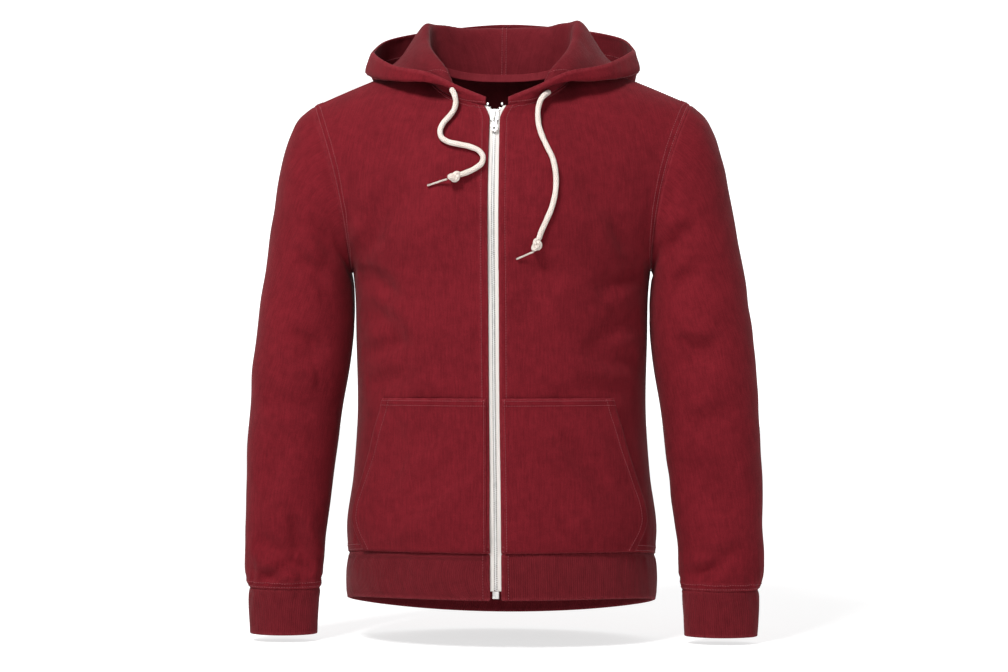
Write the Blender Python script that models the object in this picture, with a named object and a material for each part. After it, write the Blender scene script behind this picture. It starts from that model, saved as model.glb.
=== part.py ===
"""Zip up hoodie, filled out as if worn, with nobody in it.

Metres, +Z up. The origin is the centre of the neck at the height of the shoulder seams' inner ends.
The front faces -Y and +X is the viewer's right. Every cut and sewn piece is one closed wall of cloth:
a grid of points on its outer face, and the same points moved in by the cloth's thickness.
"""

import math

import bmesh
import bpy
import numpy as np
from mathutils import Matrix, Vector
from mathutils.bvhtree import BVHTree

# Cloth and seams
FLEECE = 0.0022
RIB = 0.0026
HOOD_LAYER = 0.0013
NECK_TAPE = 0.0010
NECK_TAPE_HIGH = 0.0085
SEAM_GAP = 0.0003
TAPE = 0.0008

# Heights of the body
UNDERARM_HEIGHT = -0.257
FRONT_NECK_HEIGHT = -0.064
BACK_NECK_HEIGHT = -0.020
HEM_SEAM_HEIGHT = -0.591
HEM_EDGE_HEIGHT = -0.645
BACK_HEM_DROP = 0.039

# Neck and shoulders
NECK_HALF_WIDTH = 0.088
FRONT_NECK_DEPTH = 0.100
BACK_NECK_DEPTH = 0.055
SHOULDER_TIP = (0.2295, -0.056)
NECK_SHARE = 0.5  # share of a panel's top edge that is neckline
ARMHOLE_DEPTH = 0.064  # how far the armhole reaches forward and back
ARMHOLE_SCOOP = {"front": 0.010, "back": 0.004}

# Zip
ZIP_EDGE = 0.0060  # from the zip's centre to a front's edge
ZIP_EDGE_OPEN = 0.0135  # the same at the neck, above the slider
ZIP_OPENS_AT = -0.080
ZIP_FOOT = 0.010  # how far above the hem's edge the chain ends
TAPE_REACH = 0.0060  # how far a tape goes in under a front
TEETH_HALF = 0.0017
TEETH_DEEP = 0.0024
TEETH_CLEAR = 0.00015
TAPE_DEPTH = RIB + 2 * SEAM_GAP  # how far behind the fronts' outer faces the tapes lie
TEETH_DEPTH = TAPE_DEPTH + (TAPE - TEETH_DEEP) / 2

# Slider and pull tab, in the slider's own frame: across, up the chain, out of the chain
SLIDER_LONG = 0.0140
SLIDER_WIDE = 0.0100
SLIDER_PLATE = 0.0011
SLIDER_HEIGHT = -0.0755
BRIDGE_WIRE = 0.0006
BRIDGE_RISE = 0.0034
BRIDGE_TOP_LEG = 0.0050
BRIDGE_LOW_LEG = -0.0056
HINGE_UP = -0.0030
HINGE_OUT = 0.0014
HINGE_BAR = 0.0014
TAB_LONG = 0.0185
TAB_WIDE = 0.0078
TAB_THICK = 0.0012
TAB_NECK_WIDE = 0.0052
TAB_WINDOW = (0.0024, 0.0066)
TAB_HOLE = 0.0030

# Drawcords: each comes out of the hood, lies on a front and ends in a knot with a thin tail. Routes in mm
CORD_DIAMETER = 0.0065
CORD_POINTS = 26
KNOT_LONG = 0.0155
KNOT_WIDE = 0.0118
KNOT_DEEP = 0.0100
TAIL_DIAMETER = 0.0022
CORD_ROUTES = {
    "left": (
        (-53.5, -92.7, -45.5),
        (-50.5, -95.7, -51.5),
        (-49.0, -96.2, -59.5),
        (-50.5, -96.7, -68.0),
        (-56.0, -98.2, -76.5),
        (-62.8, -101.2, -84.5),
        (-66.6, -104.9, -93.6),
        (-65.3, -108.5, -101.8),
        (-57.8, -111.9, -107.6),
        (-45.2, -115.5, -111.0),
        (-30.0, -117.7, -114.6),
        (-19.6, -119.2, -119.7),
        (-15.2, -120.7, -126.8),
        (-16.6, -121.7, -133.6),
        (-23.8, -123.2, -139.8),
        (-33.0, -125.7, -144.6),
        (-40.5, -127.2, -147.4),
    ),
    "right": (
        (59.5, -78.3, -47.5),
        (55.2, -86.8, -51.5),
        (51.2, -92.3, -57.5),
        (48.6, -95.8, -66.5),
        (48.2, -100.6, -78.0),
        (49.8, -106.0, -90.0),
        (53.6, -110.0, -101.5),
        (60.0, -114.8, -115.5),
        (65.8, -118.0, -127.5),
        (69.0, -120.8, -140.0),
        (70.3, -123.4, -155.0),
        (69.2, -126.0, -170.3),
        (65.5, -127.8, -186.0),
        (58.9, -129.4, -202.0),
        (53.2, -130.6, -214.8),
        (50.6, -131.6, -222.6),
    ),
}
TAIL_ROUTES = {
    "left": ((-57.4, -126.5, -153.0), (-65.0, -123.0, -155.0), (-73.0, -120.5, -157.5), (-80.0, -119.1, -159.6)),
    "right": ((44.0, -131.8, -238.2), (38.0, -130.4, -240.6), (31.0, -129.2, -243.6), (25.0, -128.8, -246.2)),
}

# Grid of the panels: columns from the centre to the side, rows up to the underarm and past it
COLUMNS = 8
LOWER_ROWS = 9
UPPER_ROWS = 8
HOOD_STEPS = 14

SIDES = {"right": np.array([1, 1, 1]), "left": np.array([-1, 1, 1])}

COLOURS = {
    "fleece": (0.190, 0.013, 0.021),
    "rib": (0.160, 0.011, 0.018),
    "lining": (0.120, 0.009, 0.014),
    "cord": (0.82, 0.78, 0.72),
    "tape": (0.80, 0.77, 0.73),
    "metal": (0.72, 0.72, 0.70),
}


def smooth(knots, values, at):
    """A curve through a table's points, with each slope taken from the points beside it."""
    knots, values, at = (np.asarray(a, float) for a in (knots, values, at))
    slopes = np.gradient(values, knots, axis=0)
    i = np.clip(np.searchsorted(knots, at) - 1, 0, len(knots) - 2)
    step = knots[i + 1] - knots[i]
    s = np.clip((at - knots[i]) / step, 0, 1)
    if values.ndim > 1:
        step, s = step[..., None], s[..., None]
    return (
        values[i] * (1 + 2 * s) * (1 - s) ** 2
        + slopes[i] * step * s * (1 - s) ** 2
        + values[i + 1] * s**2 * (3 - 2 * s)
        + slopes[i + 1] * step * s**2 * (s - 1)
    )


class Table:
    """A short table with named columns, read smoothly at any value of its first column."""

    def __init__(self, names, *rows):
        self.names = names.split()
        self.columns = dict(zip(self.names, np.array(rows, float).T))

    def __call__(self, name, at):
        return smooth(self.columns[self.names[0]], self.columns[name], at)


# The body's rings from the underarm, 0, down to the hem seam, 1
TORSO = Table(
    "down half_width front_depth back_depth",
    (0.00, 0.1812, 0.1280, 0.1220),
    (0.04, 0.1795, 0.1280, 0.1220),
    (0.25, 0.1770, 0.1265, 0.1180),
    (0.50, 0.1755, 0.1225, 0.1120),
    (0.72, 0.1805, 0.1220, 0.1125),
    (0.92, 0.1885, 0.1260, 0.1165),
    (1.00, 0.1862, 0.1235, 0.1145),
)
# The hem band, from its seam, 0, to its edge, 1
HEM_BAND = Table(
    "down half_width front_depth back_depth",
    (0.00, 0.1862, 0.1235, 0.1145),
    (0.25, 0.1885, 0.1255, 0.1165),
    (0.80, 0.1885, 0.1255, 0.1165),
    (1.00, 0.1875, 0.1245, 0.1155),
)
# A sleeve's sections from the armhole, 0, to the cuff's seam, 1: its inner and outer points seen from
# the front, how far it reaches forward and back, and how far forward its middle is
SLEEVE = Table(
    "along inner_x inner_z outer_x outer_z depth forward",
    (0.00, 0.1812, -0.257, 0.2295, -0.056, 0.0640, 0.000),
    (0.03, 0.1836, -0.262, 0.2440, -0.067, 0.0645, 0.000),
    (0.08, 0.1810, -0.272, 0.2575, -0.091, 0.0640, 0.002),
    (0.15, 0.1790, -0.290, 0.2685, -0.130, 0.0625, 0.004),
    (0.24, 0.1790, -0.316, 0.2775, -0.185, 0.0605, 0.006),
    (0.34, 0.1810, -0.345, 0.2865, -0.245, 0.0585, 0.009),
    (0.44, 0.1850, -0.378, 0.2955, -0.315, 0.0550, 0.012),
    (0.54, 0.1930, -0.425, 0.3030, -0.385, 0.0510, 0.015),
    (0.65, 0.1995, -0.480, 0.3070, -0.455, 0.0470, 0.019),
    (0.76, 0.2060, -0.530, 0.3090, -0.520, 0.0430, 0.023),
    (0.87, 0.2120, -0.582, 0.3095, -0.580, 0.0390, 0.027),
    (0.95, 0.2150, -0.622, 0.3090, -0.622, 0.0350, 0.030),
    (1.00, 0.2180, -0.640, 0.3040, -0.640, 0.0290, 0.031),
)
# A cuff, from its seam, 0, to its edge, 1
CUFF = Table(
    "along inner_x inner_z outer_x outer_z depth forward",
    (0.00, 0.2180, -0.640, 0.3040, -0.640, 0.0290, 0.031),
    (0.30, 0.2190, -0.656, 0.3050, -0.656, 0.0275, 0.032),
    (1.00, 0.2215, -0.695, 0.3030, -0.695, 0.0260, 0.034),
)
WIDER_RIGHT_SLEEVE = 0.006
SLEEVE_CLEARS_BODY = 0.0022
# The hood lying down, by the angle round the neck from the front: from the neck seam it stands up to
# a ridge, folds out and down into a bag, and its belly comes up to the rim. Distances out from the
# neck's centre, and heights
HOOD = Table(
    "angle ridge_out ridge_up bag_out bag_up belly_out belly_up rim_out rim_up",
    (0, 0.1003, -0.0622, 0.1006, -0.0607, 0.1009, -0.0592, 0.1012, -0.0578),
    (20, 0.0995, -0.0590, 0.1000, -0.0560, 0.1005, -0.0525, 0.1010, -0.0490),
    (35, 0.0980, -0.0420, 0.1020, -0.0380, 0.1060, -0.0370, 0.1080, -0.0310),
    (50, 0.0970, -0.0060, 0.1080, -0.0260, 0.1190, -0.0340, 0.1220, -0.0210),
    (70, 0.0930, 0.0120, 0.1180, -0.0180, 0.1420, -0.0280, 0.1400, -0.0100),
    (90, 0.0920, 0.0360, 0.1280, -0.0060, 0.1630, -0.0180, 0.1560, 0.0080),
    (105, 0.0925, 0.0466, 0.1380, -0.0160, 0.1700, -0.0140, 0.1660, 0.0200),
    (125, 0.0820, 0.0460, 0.1500, -0.0950, 0.1780, -0.0600, 0.1680, 0.0410),
    (150, 0.0770, 0.0450, 0.1500, -0.1800, 0.1760, -0.1100, 0.1520, 0.0560),
    (180, 0.0750, 0.0460, 0.1480, -0.2050, 0.1780, -0.1300, 0.1450, 0.0635),
)
HOOD_CLEARS_BODY = 0.0030
LIFT_PASSES = 6
HOOD_LIES_FROM = math.radians(46)  # nearer the front than this, the hood only stands
# How far the zip wanders off the middle, by height
ZIP_LINE = Table(
    "height across",
    (-0.66, 0.0000),
    (-0.53, -0.0010),
    (-0.41, -0.0025),
    (-0.30, -0.0030),
    (-0.17, -0.0040),
    (-0.05, -0.0025),
)
# A pocket, from its top edge, 0, to the hem seam, 1: how far down the body, and round it
POCKET = Table(
    "down body_down round",
    (0.00, 0.455, 0.555),
    (0.35, 0.640, 0.635),
    (0.72, 0.850, 0.735),
    (0.80, 0.885, 0.735),
    (1.00, 0.994, 0.655),
)
POCKET_WALL = 0.0018
POCKET_LIFT = 0.0013


def mixed(a, b, share):
    return a + (b - a) * share


def unit(vectors):
    return vectors / np.linalg.norm(vectors, axis=-1, keepdims=True)


def spatial(x, y, z):
    return np.stack(np.broadcast_arrays(x, y, z), axis=-1).astype(float)


def off_middle(points):
    """The points, moved across with the zip, most at the centre front and not at all at the sides."""
    near = np.clip(1 - np.abs(points[..., 0]) / 0.10, 0, 1) ** 2
    front = np.clip(-points[..., 1] / 0.08, 0, 1)
    moved = points.copy()
    moved[..., 0] += ZIP_LINE("across", points[..., 2]) * near * front
    return moved


def front_edge(height):
    """Half the gap between the two fronts: even below the slider, wider above it."""
    opens = np.clip((height - ZIP_OPENS_AT) / (FRONT_NECK_HEIGHT - ZIP_OPENS_AT), 0, 1)
    return mixed(ZIP_EDGE, ZIP_EDGE_OPEN, opens**1.5)


def drop(around):
    """How much lower the hem is at an angle round the body, from 0 at the front to pi at the back."""
    return BACK_HEM_DROP * ((1 - np.cos(around)) / 2) ** 1.9


def ring(table, down, around, height):
    """Points of the body's ring, which is half an ellipse in front and half a shallower one behind."""
    depth = np.where(np.cos(around) > 0, table("front_depth", down), table("back_depth", down))
    return spatial(table("half_width", down) * np.sin(around), -depth * np.cos(around), height)


def angle_round(side, u, edge):
    """The angle round the body of a panel's column u, from its centre line, 0, to the side seam, 1."""
    if side == "back":
        return math.pi - u * math.pi / 2
    start = np.arcsin(edge / TORSO("half_width", 0.5))
    return start + u * (math.pi / 2 - start)


def lower(side, u, down):
    """The body below the underarm."""
    around = angle_round(side, u, ZIP_EDGE)
    seam = HEM_SEAM_HEIGHT - drop(around)
    return ring(TORSO, down, around, mixed(UNDERARM_HEIGHT, seam, down))


def centre_line(side, t):
    """The centre front or centre back, from the underarm's height, 0, to the neck, 1."""
    sign, depth, neck, top, turn = {
        "front": (-1, TORSO("front_depth", 0), FRONT_NECK_DEPTH, FRONT_NECK_HEIGHT, math.radians(40)),
        "back": (1, TORSO("back_depth", 0), BACK_NECK_DEPTH, BACK_NECK_HEIGHT, math.radians(62)),
    }[side]
    height = mixed(UNDERARM_HEIGHT, top, np.sin(turn * t) / math.sin(turn))
    y = sign * mixed(depth, neck, (1 - np.cos(turn * t)) / (1 - math.cos(turn)))
    x = front_edge(height) if side == "front" else 0
    return spatial(x, y, height)


def neckline(side, turn):
    """The neck seam by a turn from the centre line, 0, to the shoulder, pi / 2."""
    sign, depth, height, power = {
        "front": (-1, FRONT_NECK_DEPTH, FRONT_NECK_HEIGHT, 0.7),
        "back": (1, BACK_NECK_DEPTH, BACK_NECK_HEIGHT, 0.8),
    }[side]
    fall = np.clip(np.cos(turn), 0, 1)
    return spatial(NECK_HALF_WIDTH * np.sin(turn), sign * depth * fall, height * fall**power)


def top_edge(side, u):
    """A panel's top: its neckline, then its shoulder seam, which drops faster near its tip."""
    start = math.asin(ZIP_EDGE_OPEN / NECK_HALF_WIDTH) if side == "front" else 0
    neck = neckline(side, start + np.clip(u / NECK_SHARE, 0, 1) * (math.pi / 2 - start))
    out = np.clip((u - NECK_SHARE) / (1 - NECK_SHARE), 0, 1)
    shoulder = spatial(mixed(NECK_HALF_WIDTH, SHOULDER_TIP[0], out), 0, SHOULDER_TIP[1] * out**1.15)
    return np.where((u > NECK_SHARE)[..., None], shoulder, neck)


def armhole(turn):
    """The armhole's loop, from the underarm, 0, up the front to the shoulder tip, pi, and down the back,
    with the direction that points straight out of it."""
    low = np.array([TORSO("half_width", 0), 0, UNDERARM_HEIGHT])
    high = np.array([SHOULDER_TIP[0], 0, SHOULDER_TIP[1]])
    reach = (high - low) / 2
    scoop = np.where(np.sin(turn) > 0, ARMHOLE_SCOOP["front"], ARMHOLE_SCOOP["back"]) * np.sin(turn) ** 2
    c, s = np.cos(turn)[..., None], np.sin(turn)[..., None]
    forward = np.array([0, -ARMHOLE_DEPTH, 0])
    points = (low + high) / 2 - reach * c + forward * s - spatial(scoop, 0, 0)
    out = unit(-reach * c / (reach @ reach) + forward * s / (forward @ forward))
    return points, out


def upper(side, u, t):
    """The body above the underarm: a patch between the ring, the centre line, the armhole and the top edge.
    Going up, its depth follows a quarter circle's cosine and its height the sine, so it rounds over."""
    turn = t * math.pi / 2
    rise = spatial(t, 1 - np.cos(turn), np.sin(turn))
    arm = armhole(t * math.pi if side == "front" else -t * math.pi)[0]
    u1 = u[..., None]
    zero = np.zeros_like(u)
    one = zero + 1
    low_in, low_out = lower(side, zero, zero), lower(side, one, zero)
    high_in, high_out = top_edge(side, zero), top_edge(side, one)
    corner = mixed(mixed(low_in, high_in, rise), mixed(low_out, high_out, rise), u1)
    up = mixed(lower(side, u, zero), top_edge(side, u), rise)
    return up + mixed(centre_line(side, t), arm, u1) - corner


def panel_grid(side):
    """The half panel's points, hem seam first, as rows of columns from the centre line to the side."""
    u = np.linspace(0, 1, COLUMNS + 1)[None, :]
    down = np.linspace(1, 0, LOWER_ROWS + 1)[:-1, None]
    t = np.linspace(0, 1, UPPER_ROWS + 1)[:, None]
    low = lower(side, *np.broadcast_arrays(u, down))
    high = upper(side, *np.broadcast_arrays(u, t))
    return np.concatenate([low, high])


def grid_normals(points, closed=False):
    """Directions straight out of a grid's surface, for rows that run to the left of the columns' way."""
    rows = np.gradient(points, axis=0)
    if closed:
        columns = np.roll(points, -1, axis=1) - np.roll(points, 1, axis=1)
    else:
        columns = np.gradient(points, axis=1)
    return unit(np.cross(columns, rows))


def drawn_back(points, out, edges, gap=SEAM_GAP / 2):
    """The grid with some of its edges drawn back square to their seams: b, t, l and r for first row, last
    row, first column and last column."""
    moved = points.copy()
    lines = {"b": (0, 1), "t": (-1, -2)}
    for edge, (here, beside) in lines.items():
        if edge in edges:
            square = unit(np.cross(out[here], np.gradient(points[here], axis=0)))
            way = np.sign(np.sum(square * (points[beside] - points[here]), axis=-1, keepdims=True))
            moved[here] += square * way * gap
    for edge, (here, beside) in {"l": (0, 1), "r": (-1, -2)}.items():
        if edge in edges:
            square = unit(np.cross(out[:, here], np.gradient(points[:, here], axis=0)))
            way = np.sign(np.sum(square * (points[:, beside] - points[:, here]), axis=-1, keepdims=True))
            moved[:, here] += square * way * gap
    return moved


def mirrored(points):
    return points * np.array([-1, 1, 1])


def material(slot):
    """The slot's plain material, made the first time that it is asked for."""
    found = bpy.data.materials.get(slot)
    if found:
        return found
    made = bpy.data.materials.new(slot)
    made.use_nodes = True
    surface = made.node_tree.nodes["Principled BSDF"]
    surface.inputs["Base Color"].default_value = (*COLOURS[slot], 1)
    surface.inputs["Roughness"].default_value = 0.3 if slot == "metal" else 0.9
    surface.inputs["Metallic"].default_value = 1.0 if slot == "metal" else 0.0
    return made


def add_object(name, mesh, slot):
    """A new node of the garment, with its own copy of the slot's material."""
    node = bpy.data.objects.new(name, mesh)
    finish = material(slot).copy()
    finish.name = name
    mesh.materials.append(finish)
    bpy.context.scene.collection.children["hoodie"].objects.link(node)
    return node


def mesh_from(name, points, faces):
    """A mesh from points and faces, with its faces turned outwards."""
    mesh = bpy.data.meshes.new(name)
    mesh.from_pydata([tuple(p) for p in points], [], [tuple(int(i) for i in f) for f in faces])
    shape = bmesh.new()
    shape.from_mesh(mesh)
    bmesh.ops.recalc_face_normals(shape, faces=shape.faces)
    shape.to_mesh(mesh)
    shape.free()
    return mesh


def triangles(index):
    """Two triangles for each cell of a grid of point numbers."""
    a, b, c, d = index[:-1, :-1], index[:-1, 1:], index[1:, 1:], index[1:, :-1]
    return np.concatenate([np.stack(f, -1).reshape(-1, 3) for f in ((a, b, c), (a, c, d))])


def wall(name, outer, out, thickness, slot, closed=False, depth=0.0):
    """A closed wall of cloth from its outer face's points, depth further in, with all its edges filled."""
    rows, columns = outer.shape[:2]
    faces_of = [off_middle(outer - out * d).reshape(-1, 3) for d in (depth, depth + thickness)]
    index = np.arange(rows * columns).reshape(rows, columns)
    if closed:
        index = np.concatenate([index, index[:, :1]], axis=1)
    under = rows * columns
    edges = [index[0], index[-1]] + ([] if closed else [index[:, 0], index[:, -1]])
    faces = [triangles(index), triangles(index) + under]
    faces += [triangles(np.stack([edge, edge + under])) for edge in edges]
    return add_object(name, mesh_from(name, np.concatenate(faces_of), np.concatenate(faces)), slot)


def neck_seam(side, columns):
    """Points of the neck seam at a panel's columns, and the direction straight out through both cloths."""
    points = top_edge(side, columns)
    flat = unit(points * np.array([1, 1, 0]))
    tilt = np.clip(np.abs(points[:, 0]) / NECK_HALF_WIDTH, 0, 1)[:, None] * math.radians(42)
    if side == "back":
        tilt = tilt * 0.5 + math.radians(21)
    return points, flat * np.cos(tilt) + np.array([0, 0, 1]) * np.sin(tilt)


def panel(side):
    """The half panel's grid and its directions out, with those of its seams shared with its neighbours."""
    points = panel_grid(side)
    out = grid_normals(points)
    if side == "back":
        out = -out
    u = np.linspace(0, 1, COLUMNS + 1)
    neck = int(round(NECK_SHARE * COLUMNS))
    out[: LOWER_ROWS + 1, -1] = (1, 0, 0)
    turn = np.linspace(0, math.pi, UPPER_ROWS + 1)
    out[LOWER_ROWS:, -1] = armhole(turn if side == "front" else -turn)[1]
    shoulder = unit(np.array([-SHOULDER_TIP[1], 0, SHOULDER_TIP[0] - NECK_HALF_WIDTH]))
    out[-1, neck:-1] = shoulder
    out[-1, : neck + 1] = neck_seam(side, u[: neck + 1])[1]
    out[:, 0] = unit(out[:, 0] * np.array([0, 1, 1]))
    out[0] = unit(out[0] * np.array([1, 1, 0]))
    return points, out


def build_body():
    """The two fronts and the back, which is one piece."""
    front, front_out = panel("front")
    wall("front_right", drawn_back(front, front_out, "btr"), front_out, FLEECE, "fleece")
    wall("front_left", mirrored(drawn_back(front, front_out, "btr")), mirrored(front_out), FLEECE, "fleece")
    back, back_out = panel("back")
    back = drawn_back(back, back_out, "btr")
    whole = np.concatenate([mirrored(back)[:, :0:-1], back], axis=1)
    whole_out = np.concatenate([mirrored(back_out)[:, :0:-1], back_out], axis=1)
    wall("back", whole, whole_out, FLEECE, "fleece")
    return front, front_out


def build_hem():
    """The rib hem, one band from one side of the zip round the back to the other."""
    u = np.linspace(0, 1, COLUMNS + 1)
    quarter = angle_round("front", u, ZIP_EDGE)
    back = angle_round("back", u, ZIP_EDGE)[::-1]
    half = np.concatenate([quarter, back[1:]])
    around = np.concatenate([half, 2 * math.pi - half[-2::-1]])[None, :]
    down = np.array([1, 0.8, 0.25, 0])[:, None]
    seam = HEM_SEAM_HEIGHT - drop(around)
    height = mixed(seam, HEM_EDGE_HEIGHT - drop(around), down)
    points = ring(HEM_BAND, down, around, height)
    out = unit(points * np.array([1, 2, 0]))
    return wall("hem_band", drawn_back(points, out, "t"), out, RIB, "rib")


def tube_section(table, along, turn, right):
    """Points of a sleeve or cuff, round each section from its inner point, with the section's direction."""
    wide = WIDER_RIGHT_SLEEVE * np.clip(along * 3 - 0.3, 0, 1) if right else 0
    if right and table is CUFF:
        wide = WIDER_RIGHT_SLEEVE
    inner = spatial(table("inner_x", along), 0, table("inner_z", along))
    outer = spatial(table("outer_x", along) + wide, 0, table("outer_z", along))
    reach = (outer - inner) / 2
    c, s = np.cos(turn)[..., None], np.sin(turn)[..., None]
    across = spatial(0, -table("forward", along) - table("depth", along) * s[..., 0], 0)
    return (inner + outer) / 2 - reach * c + across


def clear_of_body(points):
    """The sleeve's points, moved out to where they are just clear of the body's side."""
    down = (UNDERARM_HEIGHT - points[..., 2]) / (UNDERARM_HEIGHT - HEM_SEAM_HEIGHT)
    down = np.clip(down, 0.0, 1)
    depth = np.where(points[..., 1] < 0, TORSO("front_depth", down), TORSO("back_depth", down))
    round_side = np.sqrt(np.clip(1 - (points[..., 1] / depth) ** 2, 0, 1))
    least = TORSO("half_width", down) * round_side + SLEEVE_CLEARS_BODY
    under = points[..., 2] < UNDERARM_HEIGHT - 0.004
    moved = points.copy()
    moved[..., 0] = np.where(under, np.maximum(points[..., 0], least), points[..., 0])
    return moved


def build_sleeves():
    """Both sleeves and their rib cuffs."""
    turn = np.linspace(0, 2 * math.pi, 2 * UPPER_ROWS + 1)[None, :-1]
    along = np.array([0, 0.03, 0.08, 0.15, 0.22, 0.29, 0.36, 0.43, 0.49, 0.55, 0.62, 0.7, 0.78, 0.85, 0.91, 0.96, 1])
    along = along[:, None]
    for name, flip in SIDES.items():
        right = name == "right"
        points = tube_section(SLEEVE, *np.broadcast_arrays(along, turn), right)
        seam, seam_out = armhole(turn[0])
        scoop = (seam - points[0]) * np.array([1, 0, 0])
        points += scoop[None] * np.clip(1 - along / 0.15, 0, 1)[..., None] ** 1.5
        points = clear_of_body(points)
        out = -grid_normals(points, closed=True)
        out[0] = seam_out
        out[-1] = unit(out[-1] * np.array([1, 1, 0]))
        wall(f"sleeve_{name}", drawn_back(points, out, "bt", SEAM_GAP) * flip, out * flip, FLEECE, "fleece", closed=True)
        cuff = tube_section(CUFF, *np.broadcast_arrays(np.array([0, 0.3, 1])[:, None], turn), right)
        cuff_out = -grid_normals(cuff, closed=True)
        cuff_out[0] = out[-1]
        wall(f"cuff_{name}", drawn_back(cuff, cuff_out, "b") * flip, cuff_out * flip, RIB, "rib", closed=True)


def body_surface(front, back):
    """The body's outer face as a tree that finds the nearest point on it."""
    points, faces = [], []
    for grid in (front, mirrored(front)[:, ::-1], back[:, ::-1], mirrored(back)):
        index = np.arange(grid[..., 0].size).reshape(grid.shape[:2]) + len(points)
        faces += [tuple(int(i) for i in face) for face in triangles(index)]
        points += [tuple(p) for p in grid.reshape(-1, 3)]
    return BVHTree.FromPolygons(points, faces)


def hood_surface():
    """The hood's outer face for x above 0: rows from the neck seam to the rim, columns from the centre
    front to the centre back, and the directions out of it."""
    u = np.linspace(0, NECK_SHARE, int(round(NECK_SHARE * COLUMNS)) + 1)
    front, front_out = neck_seam("front", u)
    back, back_out = neck_seam("back", u)
    seam = np.concatenate([front, back[-2::-1]])
    seam_out = np.concatenate([front_out, back_out[-2::-1]])
    angle = np.arctan2(seam[:, 0], -seam[:, 1])
    flat = spatial(np.sin(angle), -np.cos(angle), 0)
    out_at = np.hypot(seam[:, 0], seam[:, 1])
    degrees = np.degrees(angle)
    stops = [np.stack([out_at, seam[:, 2]], -1)]
    for stop in ("ridge", "bag", "belly", "rim"):
        stops.append(np.stack([HOOD(f"{stop}_out", degrees), HOOD(f"{stop}_up", degrees)], -1))
    stops = np.array(stops)
    profile = np.empty((HOOD_STEPS + 1, len(angle), 2))
    for i in range(len(angle)):
        steps = np.linalg.norm(np.diff(stops[:, i], axis=0), axis=1) ** 0.5
        knots = np.concatenate([[0], np.cumsum(steps)])
        profile[:, i] = smooth(knots, stops[:, i], np.linspace(0, knots[-1], HOOD_STEPS + 1))
    points = flat[None] * profile[..., :1] + spatial(0, 0, profile[..., 1])
    return points, flat, seam_out


def lifted(points, surface):
    """The hood's points, moved out to where they, and the middles of the edges between them, are clear of
    the body. The rows beside the neck seam stay."""
    moved = points.copy()
    rows, columns = points.shape[:2]
    lies = (np.abs(np.arctan2(points[0, :, 0], -points[0, :, 1])) > HOOD_LIES_FROM).astype(float)
    steps = ((0, 0), (0, 1), (1, 0), (1, 1), (1, -1))
    for _ in range(LIFT_PASSES):
        push = np.zeros_like(points)
        for row in range(2, rows):
            for column in range(columns):
                for down, along in steps:
                    row_2, column_2 = min(row + down, rows - 1), min(max(column + along, 0), columns - 1)
                    middle = Vector((moved[row, column] + moved[row_2, column_2]) / 2)
                    near, normal, _, _ = surface.find_nearest(middle)
                    short = HOOD_CLEARS_BODY - (middle - near).dot(normal)
                    if short > 0:
                        for end in ((row, column), (row_2, column_2)):
                            if np.linalg.norm(push[end]) < short:
                                push[end] = normal * short
        push[:, -1, 0] = 0
        moved[3:] += push[3:] * lies[:, None]
    return moved


def build_hood(surface):
    """The hood's outer and lining halves, and the tape on the back neck seam inside."""
    points, flat, seam_out = hood_surface()
    points = lifted(points, surface)
    out = grid_normals(points)
    out[0] = seam_out
    out[:, -1] = unit(out[:, -1] * np.array([0, 1, 1]))
    drawn = drawn_back(points, out, "br")
    lining = HOOD_LAYER + SEAM_GAP
    for name, flip in SIDES.items():
        wall(f"hood_outer_{name}", drawn * flip, out * flip, HOOD_LAYER, "fleece")
        wall(f"hood_lining_{name}", drawn * flip, out * flip, HOOD_LAYER, "lining", depth=lining)
    return points, out


class Chain:
    """The zip's own line: the fronts' edges from the chain's foot up to the neck, with the way out of the
    cloth and the way in under it, read at any height."""

    def __init__(self, front, front_out):
        down = np.array([0.8, 0.25])[:, None]
        u = np.array([0, 1 / COLUMNS])[None, :]
        around = angle_round("front", u, ZIP_EDGE)
        foot = mixed(HEM_SEAM_HEIGHT, HEM_EDGE_HEIGHT, down)
        hem = ring(HEM_BAND, down, around, foot - drop(around))
        both = np.concatenate([hem, front[:, :2]])
        out = np.concatenate([np.repeat(front_out[:1, :2], 2, axis=0), front_out[:, :2]])
        share = (TAPE_REACH / np.linalg.norm(both[:, 1] - both[:, 0], axis=1))[:, None]
        self.height = both[:, 0, 2]
        self.edge, self.out = both[:, 0], out[:, 0]
        self.under = mixed(both[:, 0], both[:, 1], share)
        self.under_out = mixed(out[:, 0], out[:, 1], share)

    def at(self, line, height):
        """One of the chain's lines at some heights."""
        return np.stack([np.interp(height, self.height, line[:, k]) for k in range(3)], axis=-1)

    def frame(self, height):
        """Across, up and out at one height on the middle of the teeth, as a matrix whose origin is level
        with the fronts' outer faces."""
        heights = height + np.array([-0.005, 0, 0.005])
        teeth = self.at(self.edge - self.out * TEETH_DEPTH, heights) * np.array([0, 1, 1])
        here = teeth[1] + np.array([ZIP_LINE("across", height), 0, 0])
        up = unit(teeth[2] - teeth[0])
        out = np.cross((1, 0, 0), up)
        axes = Matrix([[1, 0, 0], list(up), list(out)]).transposed().to_4x4()
        return Matrix.Translation(here + out * TEETH_DEPTH) @ axes


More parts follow.
